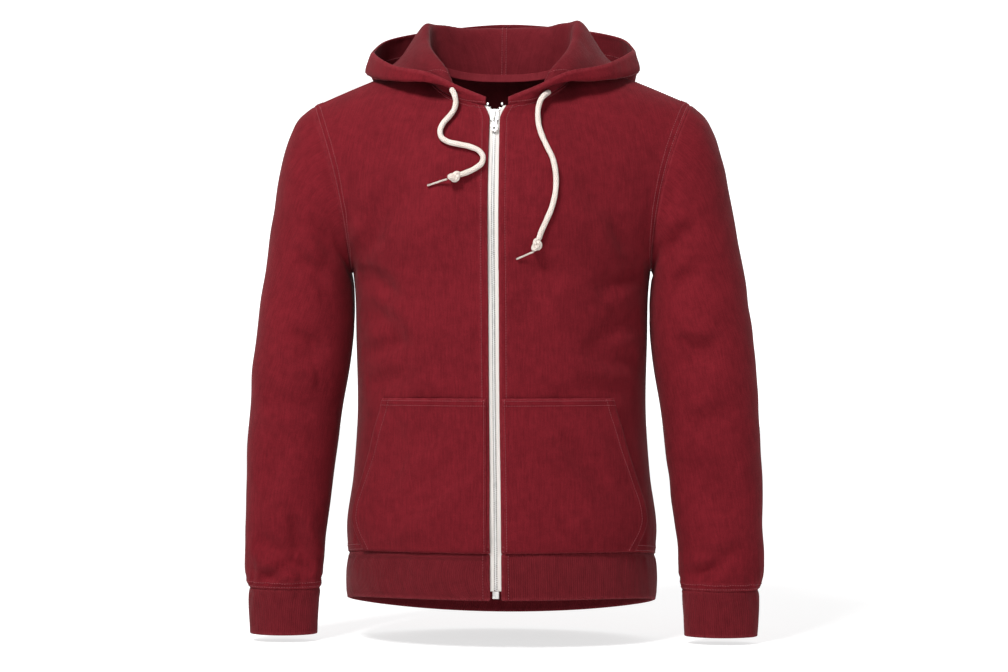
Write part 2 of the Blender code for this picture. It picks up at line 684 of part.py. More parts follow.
def build_tapes_and_teeth(chain):
    """The zip's two tapes, each going in under a front's edge, and the two rows of its teeth."""
    foot, neck = chain.height[0], chain.height[-1]
    height = np.concatenate([chain.height[:-1], np.linspace(chain.height[-2], neck, 6)[1:]])
    edge = chain.at(chain.edge, height)
    middle = edge.copy()
    middle[:, 0] = TEETH_CLEAR + front_edge(height) - ZIP_EDGE
    half = np.array([TEETH_HALF, 0, 0])
    gap = np.array([SEAM_GAP, 0, 0])
    tape = np.stack([middle + half + gap, edge, chain.at(chain.under, height)], axis=1)
    teeth = np.stack([middle, middle + half], axis=1)
    out = chain.at(chain.out, height)
    tape_out = np.stack([out, out, chain.at(chain.under_out, height)], axis=1)
    for name, flip in SIDES.items():
        wall(f"zip_tape_{name}", tape * flip, tape_out * flip, TAPE, "tape", depth=TAPE_DEPTH)
        teeth_out = tape_out[:, :2] * flip
        wall(f"zip_teeth_{name}", teeth * flip, teeth_out, TEETH_DEEP, "metal", depth=TEETH_DEPTH)
    return foot, neck


def box_mesh(size, place, bevel):
    """A box with rounded edges, in a bmesh, moved to its place."""
    shape = bmesh.new()
    bmesh.ops.create_cube(shape, size=1)
    bmesh.ops.scale(shape, vec=size, verts=shape.verts)
    bmesh.ops.bevel(shape, geom=shape.edges, offset=bevel, segments=1, affect="EDGES", profile=0.5)
    bmesh.ops.translate(shape, vec=place, verts=shape.verts)
    return shape


def box(name, size, place, frame, slot, bevel=0.0003):
    """A small block standing in a frame of the chain."""
    shape = box_mesh(size, place, bevel)
    mesh = bpy.data.meshes.new(name)
    shape.to_mesh(mesh)
    shape.free()
    node = add_object(name, mesh, slot)
    node.matrix_world = frame
    return node


def joined(node, other):
    """Adds another object's shape to a node's, and keeps the other out of the part."""
    union = node.modifiers.new("with_" + other.name, "BOOLEAN")
    union.operation, union.solver, union.object = "UNION", "EXACT", other
    other.hide_render = True
    other.display_type = "WIRE"
    for home in list(other.users_collection):
        home.objects.unlink(other)
    bpy.data.collections["cutters"].objects.link(other)


def build_slider(chain):
    """The slider, with a plate before and behind the teeth, the wedge between them and the pull's bridge,
    and the pull tab on its bar under the bridge."""
    frame = chain.frame(SLIDER_HEIGHT)
    face = -TEETH_DEPTH + SEAM_GAP
    back = -TEETH_DEPTH - TEETH_DEEP - SEAM_GAP
    plate = (SLIDER_WIDE, SLIDER_LONG, SLIDER_PLATE)
    slider = box("zip_slider", plate, (0, 0, face + SLIDER_PLATE / 2), frame, "metal")
    behind = box("slider_back_plate", plate, (0, 0, back - SLIDER_PLATE / 2), frame, "metal")
    wedge_long = 0.0028
    wedge = (0.0026, wedge_long, face - back + SLIDER_PLATE)
    wedge_place = (0, SLIDER_LONG / 2 - wedge_long / 2 - 0.0003, (face + back) / 2)
    post = box("slider_wedge", wedge, wedge_place, frame, "metal", bevel=0.0002)
    top = face + SLIDER_PLATE
    wire = BRIDGE_WIRE * 2
    crown_long = BRIDGE_TOP_LEG - BRIDGE_LOW_LEG + wire
    crown_place = (0, (BRIDGE_TOP_LEG + BRIDGE_LOW_LEG) / 2, top + BRIDGE_RISE)
    others = [behind, post, box("slider_crown", (wire, crown_long, wire), crown_place, frame, "metal")]
    for name, up in (("slider_top_leg", BRIDGE_TOP_LEG), ("slider_low_leg", BRIDGE_LOW_LEG)):
        leg_place = (0, up, top + BRIDGE_RISE / 2 - wire / 4)
        others.append(box(name, (wire, wire, BRIDGE_RISE + wire / 2), leg_place, frame, "metal", 0.0002))
    for other in others:
        joined(slider, other)
    tab = build_tab()
    tab.matrix_world = frame @ Matrix.Translation((0, HINGE_UP, top + HINGE_OUT))
    return slider, tab


def build_tab():
    """The pull tab, flat, with its window for the bridge and a round hole, hanging from the hinge's axis."""
    wide, neck, low = TAB_WIDE / 2, TAB_NECK_WIDE / 2, HINGE_BAR / 2 - TAB_LONG
    outline = [(-neck, HINGE_BAR / 2), (neck, HINGE_BAR / 2), (neck, -0.0085), (wide, -0.0110)]
    outline += [(wide, low + 0.0015), (wide - 0.0015, low)]
    outline += [(-x, y) for x, y in outline[:1:-1]]
    window = TAB_WINDOW[0] / 2
    start = -HINGE_BAR / 2
    slot = [(-window, start), (-window, start - TAB_WINDOW[1]), (window, start - TAB_WINDOW[1]), (window, start)]
    turns = np.linspace(0, 2 * math.pi, 17)[:-1]
    hole = [(TAB_HOLE / 2 * math.cos(a), low + 0.0032 + TAB_HOLE / 2 * math.sin(a)) for a in turns]
    flat = bpy.data.curves.new("zip_pull_tab", "CURVE")
    flat.dimensions, flat.fill_mode = "2D", "BOTH"
    flat.extrude = TAB_THICK / 2
    for loop in (outline, slot, hole):
        spline = flat.splines.new("POLY")
        spline.points.add(len(loop) - 1)
        for point, (x, y) in zip(spline.points, loop):
            point.co = (x, y, 0, 1)
        spline.use_cyclic_u = True
    return add_object("zip_pull_tab", flat, "metal")


def tube(name, route, diameter, slot, sides=2):
    """A round cord or wire along a route, with filled ends."""
    line = bpy.data.curves.new(name, "CURVE")
    line.dimensions = "3D"
    line.bevel_depth = diameter / 2
    line.bevel_resolution = sides
    line.use_fill_caps = True
    spline = line.splines.new("POLY")
    spline.points.add(len(route) - 1)
    for point, place in zip(spline.points, route):
        point.co = (*place, 1)
    return add_object(name, line, slot)


def build_zip(front, front_out):
    """The whole zip, from the box at its foot to the stops at the neck."""
    chain = Chain(front, front_out)
    foot, neck = build_tapes_and_teeth(chain)
    build_slider(chain)
    deep = TEETH_DEPTH + TEETH_DEEP / 2
    box_size = (0.0080, 0.0085, 0.0044)
    box("zip_foot_box", box_size, (0, -SEAM_GAP - box_size[1] / 2, -deep), chain.frame(foot), "metal", 0.0006)
    for name, flip in SIDES.items():
        across = (TEETH_CLEAR + front_edge(neck) - ZIP_EDGE + TEETH_HALF / 2) * flip[0]
        size = (0.0026, 0.0030, 0.0032)
        place = (across, 2 * SEAM_GAP + size[1] / 2, -deep)
        box(f"zip_stop_{name}", size, place, chain.frame(neck), "metal", 0.0004)


def round_knot(name, place, along):
    """A tight knot's round outer shape, with its long way along the cord."""
    shape = bmesh.new()
    bmesh.ops.create_uvsphere(shape, u_segments=14, v_segments=9, radius=0.5)
    mesh = bpy.data.meshes.new(name)
    shape.to_mesh(mesh)
    shape.free()
    node = add_object(name, mesh, "cord")
    turn = Vector(along).to_track_quat("Z", "Y").to_matrix().to_4x4()
    size = Matrix.Diagonal((KNOT_WIDE, KNOT_DEEP, KNOT_LONG, 1))
    node.matrix_world = Matrix.Translation(place) @ turn @ size


def build_drawcords():
    """Each drawcord's tube on a smooth curve through its route, its knot, and the thin tail past the knot."""
    for name, route in CORD_ROUTES.items():
        stops = np.array(route) / 1000
        knots = np.concatenate([[0], np.cumsum(np.linalg.norm(np.diff(stops, axis=0), axis=1))])
        points = smooth(knots, stops, np.linspace(0, knots[-1], CORD_POINTS))
        tube(f"drawcord_{name}", points, CORD_DIAMETER, "cord")
        along = unit(points[-1] - points[-2])
        round_knot(f"drawcord_knot_{name}", points[-1] + along * (KNOT_LONG / 2 + SEAM_GAP), along)
        tube(f"drawcord_tail_{name}", np.array(TAIL_ROUTES[name]) / 1000, TAIL_DIAMETER, "cord")


def build_neck_tape(points, out):
    """The tape that covers the back neck seam inside, on the first of the hood's cloth above the seam."""
    first = int(round(NECK_SHARE * COLUMNS)) - 1
    share = (NECK_TAPE_HIGH / np.linalg.norm(points[1] - points[0], axis=-1))[:, None]
    half = np.stack([points[0], mixed(points[0], points[1], share)])[:, first:]
    half_out = np.stack([out[0], mixed(out[0], out[1], share)])[:, first:]
    whole = np.concatenate([half, mirrored(half)[:, -2::-1]], axis=1)
    whole_out = np.concatenate([half_out, mirrored(half_out)[:, -2::-1]], axis=1)
    deep = 2 * HOOD_LAYER + 3 * SEAM_GAP
    wall("neck_tape", whole, whole_out, NECK_TAPE, "lining", depth=deep)


def build_pockets():
    """The two patch pockets, each from the front's own points, moved out."""
    down = np.linspace(0, 1, 8)[::-1, None]
    share = np.linspace(0, 1, 8)[None, :]
    body_down = POCKET("body_down", down) + 0 * share
    u = mixed(0.012, POCKET("round", down), share)
    points = lower("front", u, body_down)
    out = grid_normals(points)
    points = points + out * (POCKET_LIFT + POCKET_WALL)
    wall("pocket_right", points, out, POCKET_WALL, "fleece")
    wall("pocket_left", mirrored(points), mirrored(out), POCKET_WALL, "fleece")


def clear_scene():
    """Takes everything out of the scene and makes the garment's collection and the cutters'."""
    for old in list(bpy.data.objects):
        bpy.data.objects.remove(old, do_unlink=True)
    for name in ("hoodie", "cutters"):
        if name not in bpy.context.scene.collection.children:
            bpy.context.scene.collection.children.link(bpy.data.collections.new(name))


def main():
    clear_scene()
    front, front_out = build_body()
    build_hem()
    build_sleeves()
    surface = body_surface(front, panel_grid("back"))
    build_neck_tape(*build_hood(surface))
    build_zip(front, front_out)
    build_pockets()
    build_drawcords()


main()
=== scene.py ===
"""Looks of a zip up hoodie in wine red fleece, filled out as if worn, with nobody in it.

Metres, +Z up, front towards -Y, +X to the viewer's right. Every cloth piece is a thin closed wall on its
solid's own form: a dense grid of points on the outer face, moved a little by folds and seams, and the same
grid moved in by the cloth's thickness, with a rounded edge between them.
"""

import logging
import math
from dataclasses import dataclass, field
from enum import Enum
from typing import Iterable, Sequence

import bpy
import numpy as np
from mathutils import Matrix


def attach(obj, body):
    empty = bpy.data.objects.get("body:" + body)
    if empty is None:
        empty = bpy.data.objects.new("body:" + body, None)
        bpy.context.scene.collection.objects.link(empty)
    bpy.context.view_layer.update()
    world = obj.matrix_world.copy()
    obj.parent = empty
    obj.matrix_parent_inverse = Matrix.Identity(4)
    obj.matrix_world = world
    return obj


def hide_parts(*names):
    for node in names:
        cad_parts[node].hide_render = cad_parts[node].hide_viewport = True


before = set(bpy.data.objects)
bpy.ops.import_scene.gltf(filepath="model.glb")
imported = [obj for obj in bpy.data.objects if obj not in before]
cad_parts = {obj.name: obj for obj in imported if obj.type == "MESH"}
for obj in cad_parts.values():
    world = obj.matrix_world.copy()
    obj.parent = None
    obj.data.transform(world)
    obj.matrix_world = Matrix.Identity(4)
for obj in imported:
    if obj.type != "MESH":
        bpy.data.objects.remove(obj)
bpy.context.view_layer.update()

LOG = logging.getLogger("hoodie")
MM = 0.001
Array = np.ndarray


class Side(Enum):
    """The wearer's two sides as somebody facing the front sees them."""

    RIGHT = 1
    LEFT = -1

    @property
    def label(self) -> str:
        """The side's word in names."""
        return self.name.lower()


class Edge(Enum):
    """The four edges of a grid of points."""

    FIRST_ROW = "first row"
    LAST_ROW = "last row"
    FIRST_COLUMN = "first column"
    LAST_COLUMN = "last column"


# ---------------------------------------------------------------------------------------------------------
# Numbers and curves


def mixed(a: Array, b: Array, share: Array) -> Array:
    """The point that share of the way from a to b."""
    return a + (b - a) * share


def unit(vectors: Array) -> Array:
    """The vectors at length one."""
    return vectors / np.maximum(np.linalg.norm(vectors, axis=-1, keepdims=True), 1e-12)


def spatial(x: Array, y: Array, z: Array) -> Array:
    """Points from three arrays of coordinates."""
    return np.stack(np.broadcast_arrays(x, y, z), axis=-1).astype(float)


def eased(value: Array, start: float, end: float) -> Array:
    """From 0 at start to 1 at end, level at both."""
    t = np.clip((value - start) / (end - start), 0, 1)
    return t * t * (3 - 2 * t)


def hump(value: Array, middle: float, width: float) -> Array:
    """A round bump, 1 at the middle, that fades over its width: exp of minus the distance squared."""
    return np.exp(-(((value - middle) / width) ** 2))


def smooth(knots: Array, values: Array, at: Array) -> Array:
    """Reads a curve through a table's points, with each slope taken from the points beside it.

    Args:
        knots: the places of the table's rows.
        values: a value, or a row of values, at each of them.
        at: where to read it.

    Returns:
        The values there.
    """
    knots, values, at = (np.asarray(a, float) for a in (knots, values, at))
    slopes = np.gradient(values, knots, axis=0)
    i = np.clip(np.searchsorted(knots, at) - 1, 0, len(knots) - 2)
    step = knots[i + 1] - knots[i]
    s = np.clip((at - knots[i]) / step, 0, 1)
    if values.ndim > 1:
        step, s = step[..., None], s[..., None]
    return (
        values[i] * (1 + 2 * s) * (1 - s) ** 2
        + slopes[i] * step * s * (1 - s) ** 2
        + values[i + 1] * s**2 * (3 - 2 * s)
        + slopes[i + 1] * step * s**2 * (s - 1)
    )


def finer(grid: Array, rows: int, columns: int) -> Array:
    """A coarse grid of points read smoothly at more rows and columns."""
    height, width = grid.shape[:2]
    tall = smooth(np.arange(height), grid.reshape(height, -1), np.linspace(0, height - 1, rows))
    turned = tall.reshape(rows, width, -1).swapaxes(0, 1).reshape(width, -1)
    wide = smooth(np.arange(width), turned, np.linspace(0, width - 1, columns))
    return wide.reshape(columns, rows, -1).swapaxes(0, 1)


def spaced(length: float, step: float, fine_start: bool = True, fine_end: bool = True, gap: float = 0.0) -> Array:
    """Parameters from 0 to 1 along a side, close together near its ends, where the seams are.

    Args:
        length: the side's real length.
        step: the spacing in the middle.
        fine_start: whether the start is a seam or an edge that needs close spacing.
        fine_end: the same of the end.
        gap: how far each such end is drawn back.

    Returns:
        The parameters, in order.
    """
    fine, margin = 0.0009, 0.0108
    lead = np.linspace(0, margin, round(margin / fine), endpoint=False)
    first, last = (margin if fine_start else 0.0), length - (margin if fine_end else 0.0)
    middle = np.linspace(first, last, max(int((last - first) / step), 1) + 1)
    places = [middle]
    if fine_start:
        places.insert(0, lead)
    if fine_end:
        places.append(length - lead[::-1])
    along = np.concatenate(places) / length
    start, end = (gap / length if fine_start else 0.0), (gap / length if fine_end else 0.0)
    return start + along * (1 - start - end)


def rumple(points: Array, size: float, seed: int) -> Array:
    """Soft unevenness from -1 to 1: a sum of sine waves that run in different directions.

    Args:
        points: where to read it.
        size: the waves' rough length in metres.
        seed: picks the directions and phases.

    Returns:
        One number for each point.
    """
    draw = np.random.default_rng(seed)
    total = np.zeros(points.shape[:-1])
    waves = 7
    for _ in range(waves):
        way = unit(draw.normal(size=3)) * 2 * math.pi / (size * draw.uniform(0.6, 1.7))
        total += np.sin(points @ way + draw.uniform(0, 2 * math.pi))
    return total / waves * 1.6


class Table:
    """A short table with named columns, read smoothly at any value of its first column."""

    def __init__(self, names: str, *rows: Sequence[float]) -> None:
        self.names = names.split()
        self.columns = dict(zip(self.names, np.array(rows, float).T))

    def __call__(self, name: str, at: Array) -> Array:
        """The named column at those values of the first."""
        return smooth(self.columns[self.names[0]], self.columns[name], at)


# ---------------------------------------------------------------------------------------------------------
# Materials


class Socket:
    """A value in a material, on which Python's operators add Math nodes."""

    def __init__(self, graph: "Graph", output: bpy.types.NodeSocket) -> None:
        self.graph = graph
        self.output = output

    def math(self, operation: str, *others: "Socket | float") -> "Socket":
        """A Math node of this value and the others."""
        values = dict(enumerate((self, *others)))
        return self.graph.node("ShaderNodeMath", {"operation": operation}, values)

    def __add__(self, other: "Socket | float") -> "Socket":
        """self + other."""
        return self.math("ADD", other)

    def __sub__(self, other: "Socket | float") -> "Socket":
        """self - other."""
        return self.math("SUBTRACT", other)

    def __rsub__(self, other: float) -> "Socket":
        """other - self."""
        return self.graph.node("ShaderNodeMath", {"operation": "SUBTRACT"}, {0: other, 1: self})

    def __mul__(self, other: "Socket | float") -> "Socket":
        """self * other."""
        return self.math("MULTIPLY", other)

    def __truediv__(self, other: "Socket | float") -> "Socket":
        """self / other."""
        return self.math("DIVIDE", other)

    def __pow__(self, other: float) -> "Socket":
        """self to the power other."""
        return self.math("POWER", other)

    __radd__ = __add__
    __rmul__ = __mul__

    def wave(self) -> "Socket":
        """The sine of a count of turns, from 0 to 1."""
        return (self * (2 * math.pi)).math("SINE") * 0.5 + 0.5

    def eased(self, start: float, end: float) -> "Socket":
        """From 0 at start to 1 at end, level at both."""
        values = {"Value": self, "From Min": start, "From Max": end}
        return self.graph.node("ShaderNodeMapRange", {"interpolation_type": "SMOOTHSTEP"}, values)

    def part(self, axis: str) -> "Socket":
        """One coordinate, X, Y or Z, of a vector."""
        return self.graph.node("ShaderNodeSeparateXYZ", {}, {0: self}, axis)


class Graph:
    """One material's nodes, with a Principled shader at the end."""

    def __init__(self, name: str) -> None:
        self.material = bpy.data.materials.new(name)
        self.material.use_nodes = True
        self.tree = self.material.node_tree
        self.tree.nodes.clear()
        self.shader = self.tree.nodes.new("ShaderNodeBsdfPrincipled")
        end = self.tree.nodes.new("ShaderNodeOutputMaterial")
        self.tree.links.new(self.shader.outputs[0], end.inputs["Surface"])

    def node(
        self, kind: str, settings: dict | None = None, inputs: dict | None = None, output: str | int = 0
    ) -> Socket:
        """Adds a node.

        Args:
            kind: the node's type.
            settings: its own settings, which are set first.
            inputs: the value or link of each of its sockets, by name or number.
            output: the name or number of the socket that is given back.

        Returns:
            That socket.
        """
        made = self.tree.nodes.new(kind)
        for key, value in (settings or {}).items():
            setattr(made, key, value)
        for key, value in (inputs or {}).items():
            self.fill(made.inputs[key], value)
        return Socket(self, made.outputs[output])

    def fill(self, socket: bpy.types.NodeSocket, value: "Socket | float | tuple") -> None:
        """Links a socket, or sets its value."""
        if isinstance(value, Socket):
            self.tree.links.new(value.output, socket)
        else:
            socket.default_value = value

    def surface(self, **values: "Socket | float | tuple") -> None:
        """Fills the shader's sockets, with _ for a space in a socket's name."""
        for name, value in values.items():
            self.fill(self.shader.inputs[name.replace("_", " ")], value)

    def place(self) -> Socket:
        """Each point's own place, in metres."""
        return self.node("ShaderNodeTexCoord", output="Object")

    def cloth(self) -> Socket:
        """The piece's UV map: metres across and along the cloth."""
        return self.node("ShaderNodeUVMap", {"uv_map": "cloth"})

    def value(self, name: str) -> Socket:
        """A number kept at the piece's points."""
        return self.node("ShaderNodeAttribute", {"attribute_name": name}, output="Fac")

    def noise(self, at: Socket, scale: float, detail: float = 2.0, roughness: float = 0.5) -> Socket:
        """Even noise from 0 to 1, with scale the number of its lumps in a metre."""
        values = {"Vector": at, "Scale": scale, "Detail": detail, "Roughness": roughness}
        return self.node("ShaderNodeTexNoise", {}, values, "Fac")

    def stretched(self, at: Socket, by: tuple[float, float, float]) -> Socket:
        """A place with each coordinate scaled."""
        return self.node("ShaderNodeVectorMath", {"operation": "MULTIPLY"}, {0: at, 1: by})

    def blend(self, share: Socket, a: "Socket | tuple", b: "Socket | tuple") -> Socket:
        """A colour between a and b."""
        made = self.tree.nodes.new("ShaderNodeMix")
        made.data_type = "RGBA"
        self.fill(made.inputs["Factor"], share)
        for key, value in (("A", a), ("B", b)):
            socket = next(s for s in made.inputs if s.name == key and s.type == "RGBA")
            self.fill(socket, value)
        return Socket(self, next(s for s in made.outputs if s.type == "RGBA"))

    def relief(self, height: Socket, depth: float, strength: float = 1.0) -> Socket:
        """A normal from a height of 0 to 1, which stands for that depth in metres."""
        values = {"Height": height, "Distance": depth, "Strength": strength}
        return self.node("ShaderNodeBump", {}, values, "Normal")


def rgba(red: float, green: float, blue: float) -> tuple[float, float, float, float]:
    """A solid linear colour."""
    return (red, green, blue, 1.0)


@dataclass(frozen=True)
class Cloth:
    """Knitted cotton: fine wales, a soft nap, cloudy dye and paler worn edges; rib knit also gets painted shade in its
    troughs.
    """

    name: str
    deep: tuple = (0.094, 0.0042, 0.0080)
    pale: tuple = (0.160, 0.0088, 0.0150)
    worn: tuple = (0.225, 0.026, 0.035)
    wale: float = 0.00115
    nap: float = 0.00035
    rib: float = 0.0
    rib_depth: float = 0.0
    sheen: float = 0.05

    def material(self) -> bpy.types.Material:
        """The finish as a material."""
        g = Graph(self.name)
        cloth, place = g.cloth(), g.place()
        cloud = g.noise(place, 11, 3, 0.6)
        mottle = g.noise(place, 90, 3, 0.6)
        streak = g.noise(g.stretched(cloth, (520, 40, 1)), 1, 3, 0.65)
        fuzz = g.noise(place, 1500, 2, 0.7)
        tone = cloud * 0.12 + mottle * 0.20 + streak * 0.26 + fuzz * 0.42
        colour = g.blend(tone.eased(0.38, 0.62), rgba(*self.deep), rgba(*self.pale))
        rubbed = g.value("worn") * g.noise(place, 260, 3, 0.7).eased(0.28, 0.72)
        colour = g.blend(rubbed, colour, rgba(*self.worn))
        across, along = cloth.part("X"), cloth.part("Y")
        knit = (across / self.wale).wave() * 0.6 + (along / (self.wale * 0.8)).wave() * 0.25
        height = knit * 0.35 + fuzz * 0.4 + g.noise(place, 700, 3, 0.7) * 0.5
        normal = g.relief(height, self.nap)
        if self.rib:
            wander = g.noise(place, 60, 2, 0.5) * 0.25
            ribs = (across / self.rib + wander).wave()
            # Painted shade: where the ribs' relief is low, in the troughs between them, the colour is blended towards a
            # darker copy of the deep colour.
            colour = g.blend(ribs.eased(0.45, 0.0) * 0.20, colour, rgba(*(c * 0.45 for c in self.deep)))
            both = ribs ** 0.7 * self.rib_depth + height * self.nap
            normal = g.relief(both, 1.0)
        g.surface(
            Base_Color=colour,
            Roughness=fuzz * 0.1 + 0.84,
            Normal=normal,
            Sheen_Weight=self.sheen,
            Sheen_Roughness=0.42,
            Sheen_Tint=rgba(1.0, 0.60, 0.60),
            Specular_IOR_Level=0.10,
        )
        return g.material


@dataclass(frozen=True)
class Braid:
    """Round braided cotton cord: two families of strands that cross, with painted shade in the hollows between them, a
    little soiled.
    """

    name: str
    strands: int = 8
    lay: float = 0.0052
    pale: tuple = (0.84, 0.75, 0.68)
    shade: tuple = (0.42, 0.32, 0.26)

    def material(self) -> bpy.types.Material:
        """The finish as a material."""
        g = Graph(self.name)
        cloth, place = g.cloth(), g.place()
        around, along = cloth.part("X") * self.strands, cloth.part("Y") / self.lay
        one, two = (around + along).wave(), (around - along).wave()
        plait = one.math("MAXIMUM", two) * 0.7 + one * two * 0.3
        fibres = g.noise(place, 2200, 2, 0.7)
        soil = g.noise(place, 120, 3, 0.6).eased(0.35, 0.75) * 0.25
        # Painted shade in the hollows between the strands, where the plait is low, plus real soiling from a noise; both
        # blend towards the shade colour.
        hollow_shade_and_soil = (1 - plait).eased(0.25, 0.9) * 0.55 + soil
        g.surface(
            Base_Color=g.blend(hollow_shade_and_soil, rgba(*self.pale), rgba(*self.shade)),
            Roughness=fibres * 0.1 + 0.8,
            Normal=g.relief(plait * 0.8 + fibres * 0.2, 0.0011),
            Sheen_Weight=0.25,
            Sheen_Roughness=0.5,
            Specular_IOR_Level=0.2,
        )
        return g.material


@dataclass(frozen=True)
class Woven:
    """Zip tape: a fine herringbone in off-white thread, with painted shade in the twill's grooves."""

    name: str
    pitch: float = 0.0009
    pale: tuple = (0.80, 0.76, 0.72)
    shade: tuple = (0.52, 0.48, 0.45)

    def material(self) -> bpy.types.Material:
        """The finish as a material."""
        g = Graph(self.name)
        place = g.place()
        x, z = place.part("X") / self.pitch, place.part("Z") / self.pitch
        fold = (x * 0.25).math("PINGPONG", 0.5) * 2
        twill = (z + fold).wave()
        threads = g.noise(place, 1800, 2, 0.6)
        # Base colour: painted shade along the twill's low lines, the same lines that the relief sinks, with random
        # thread tone.
        g.surface(
            Base_Color=g.blend((1 - twill) * 0.5 + threads * 0.2, rgba(*self.pale), rgba(*self.shade)),
            Roughness=threads * 0.1 + 0.72,
            Normal=g.relief(twill * 0.7 + threads * 0.3, 0.00022),
            Specular_IOR_Level=0.3,
        )
        return g.material


@dataclass(frozen=True)
class Metal:
    """Pale die-cast metal with a satin, slightly marked surface."""

    name: str
    bright: tuple = (0.74, 0.73, 0.71)
    dull: tuple = (0.42, 0.41, 0.40)
    rough: float = 0.30

    def material(self) -> bpy.types.Material:
        """The finish as a material."""
        g = Graph(self.name)
        place = g.place()
        marks = g.noise(place, 900, 4, 0.6)
        patches = g.noise(place, 160, 2, 0.5)
        g.surface(
            Base_Color=g.blend(patches.eased(0.4, 0.7) * 0.6, rgba(*self.bright), rgba(*self.dull)),
            Metallic=0.85,
            Roughness=marks * 0.22 + self.rough,
            Normal=g.relief(marks, 0.00004),
        )
        return g.material


@dataclass(frozen=True)
class Thread:
    """Twisted sewing thread dyed to match."""

    name: str
    deep: tuple = (0.165, 0.016, 0.023)
    pale: tuple = (0.270, 0.038, 0.048)

    def material(self) -> bpy.types.Material:
        """The finish as a material."""
        g = Graph(self.name)
        place = g.place()
        twist = g.noise(place, 1400, 2, 0.5)
        g.surface(
            Base_Color=g.blend(twist.eased(0.3, 0.7), rgba(*self.deep), rgba(*self.pale)),
            Roughness=twist * 0.1 + 0.55,
            Normal=g.relief(twist, 0.0001),
        )
        return g.material


@dataclass(frozen=True)
class Paper:
    """The studio's plain pale floor."""

    name: str = "studio_paper"
    colour: tuple = (0.45, 0.45, 0.45)
    glow: float = 0.70

    def material(self) -> bpy.types.Material:
        """The finish as a material."""
        g = Graph(self.name)
        g.surface(
            Base_Color=rgba(*self.colour),
            Roughness=0.9,
            Emission_Color=rgba(1.0, 1.0, 1.0),
            Emission_Strength=self.glow,
            Specular_IOR_Level=0.0,
        )
        return g.material


# ---------------------------------------------------------------------------------------------------------
# Meshes


@dataclass
class Line:
    """A line on a cloth's face, with the way out of the cloth at each of its points."""

    points: Array
    out: Array

    @property
    def length(self) -> float:
        """Its length along the cloth."""
        return float(np.linalg.norm(np.diff(self.points, axis=0), axis=1).sum())

    def read(self, at: Array) -> tuple[Array, Array, Array]:
        """Points, directions along and directions out at distances from its start."""
        far = np.concatenate([[0], np.cumsum(np.linalg.norm(np.diff(self.points, axis=0), axis=1))])
        points = np.stack([np.interp(at, far, self.points[:, k]) for k in range(3)], -1)
        out = unit(np.stack([np.interp(at, far, self.out[:, k]) for k in range(3)], -1))
        slopes = np.gradient(self.points, far + np.arange(len(far)) * 1e-9, axis=0)
        along = unit(np.stack([np.interp(at, far, slopes[:, k]) for k in range(3)], -1))
        return points, along, out


@dataclass
class Panel:
    """A cloth's outer face: a grid of points and the directions out of it."""

    points: Array
    out: Array
    closed: bool = False

    def lengths(self, axis: int) -> Array:
        """How far along its own row or column each point is."""
        steps = np.linalg.norm(np.diff(self.points, axis=axis), axis=-1)
        start = np.zeros_like(steps[:1] if axis == 0 else steps[:, :1])
        return np.concatenate([start, np.cumsum(steps, axis=axis)], axis=axis)

    def off(self, edge: Edge) -> Array:
        """How far each point is from an edge, along the grid."""
        if edge in (Edge.FIRST_ROW, Edge.LAST_ROW):
            far = self.lengths(0)
            return far if edge is Edge.FIRST_ROW else far[-1:] - far
        far = self.lengths(1)
        return far if edge is Edge.FIRST_COLUMN else far[:, -1:] - far

    def line(self, edge: Edge, distance: float) -> Line:
        """The line that runs at one distance from an edge.

        Args:
            edge: the edge.
            distance: how far in from it.

        Returns:
            The line, from the grid's first end to its last.
        """
        far, points, out = self.off(edge), self.points, self.out
        if edge in (Edge.FIRST_ROW, Edge.LAST_ROW):
            far, points, out = far.T, points.swapaxes(0, 1), out.swapaxes(0, 1)
        if edge in (Edge.LAST_ROW, Edge.LAST_COLUMN):
            far, points, out = far[:, ::-1], points[:, ::-1], out[:, ::-1]
        i = np.clip((far < distance).sum(1) - 1, 0, far.shape[1] - 2)
        row = np.arange(len(far))
        near, next_one = far[row, i], far[row, i + 1]
        share = ((distance - near) / np.maximum(next_one - near, 1e-9))[:, None]
        made = [mixed(a[row, i], a[row, i + 1], share) for a in (points, out)]
        if self.closed and edge in (Edge.FIRST_ROW, Edge.LAST_ROW):
            made = [np.concatenate([a, a[:1]]) for a in made]
        return Line(made[0], unit(made[1]))

    def raised(self, amount: Array) -> "Panel":
        """The face with each point moved out by an amount."""
        return Panel(self.points + self.out * amount[..., None], self.out, self.closed)

    def other_side(self) -> "Panel":
        """The face mirrored across the middle."""
        flip = np.array([-1, 1, 1])
        return Panel(self.points * flip, self.out * flip, self.closed)


def grid_normals(points: Array, closed: bool = False) -> Array:
    """Directions square to a grid: the cross product of its columns' and rows' directions."""
    rows = np.gradient(points, axis=0)
    if closed:
        columns = np.roll(points, -1, axis=1) - np.roll(points, 1, axis=1)
    else:
        columns = np.gradient(points, axis=1)
    return unit(np.cross(columns, rows))


def quads(index: Array) -> Array:
    """The four corners' numbers for each cell of a grid of point numbers."""
    corners = (index[:-1, :-1], index[:-1, 1:], index[1:, 1:], index[1:, :-1])
    return np.stack(corners, -1).reshape(-1, 4)


def facing(points: Array, faces: Array, out: Array) -> Array:
    """The faces, turned to face along the directions kept at their first points, if they don't."""
    a, b, c = (points[faces[:, k]] for k in range(3))
    agrees = np.sum(np.cross(b - a, c - a) * out[faces[:, 0]], axis=1).sum()
    return faces if agrees > 0 else faces[:, ::-1]


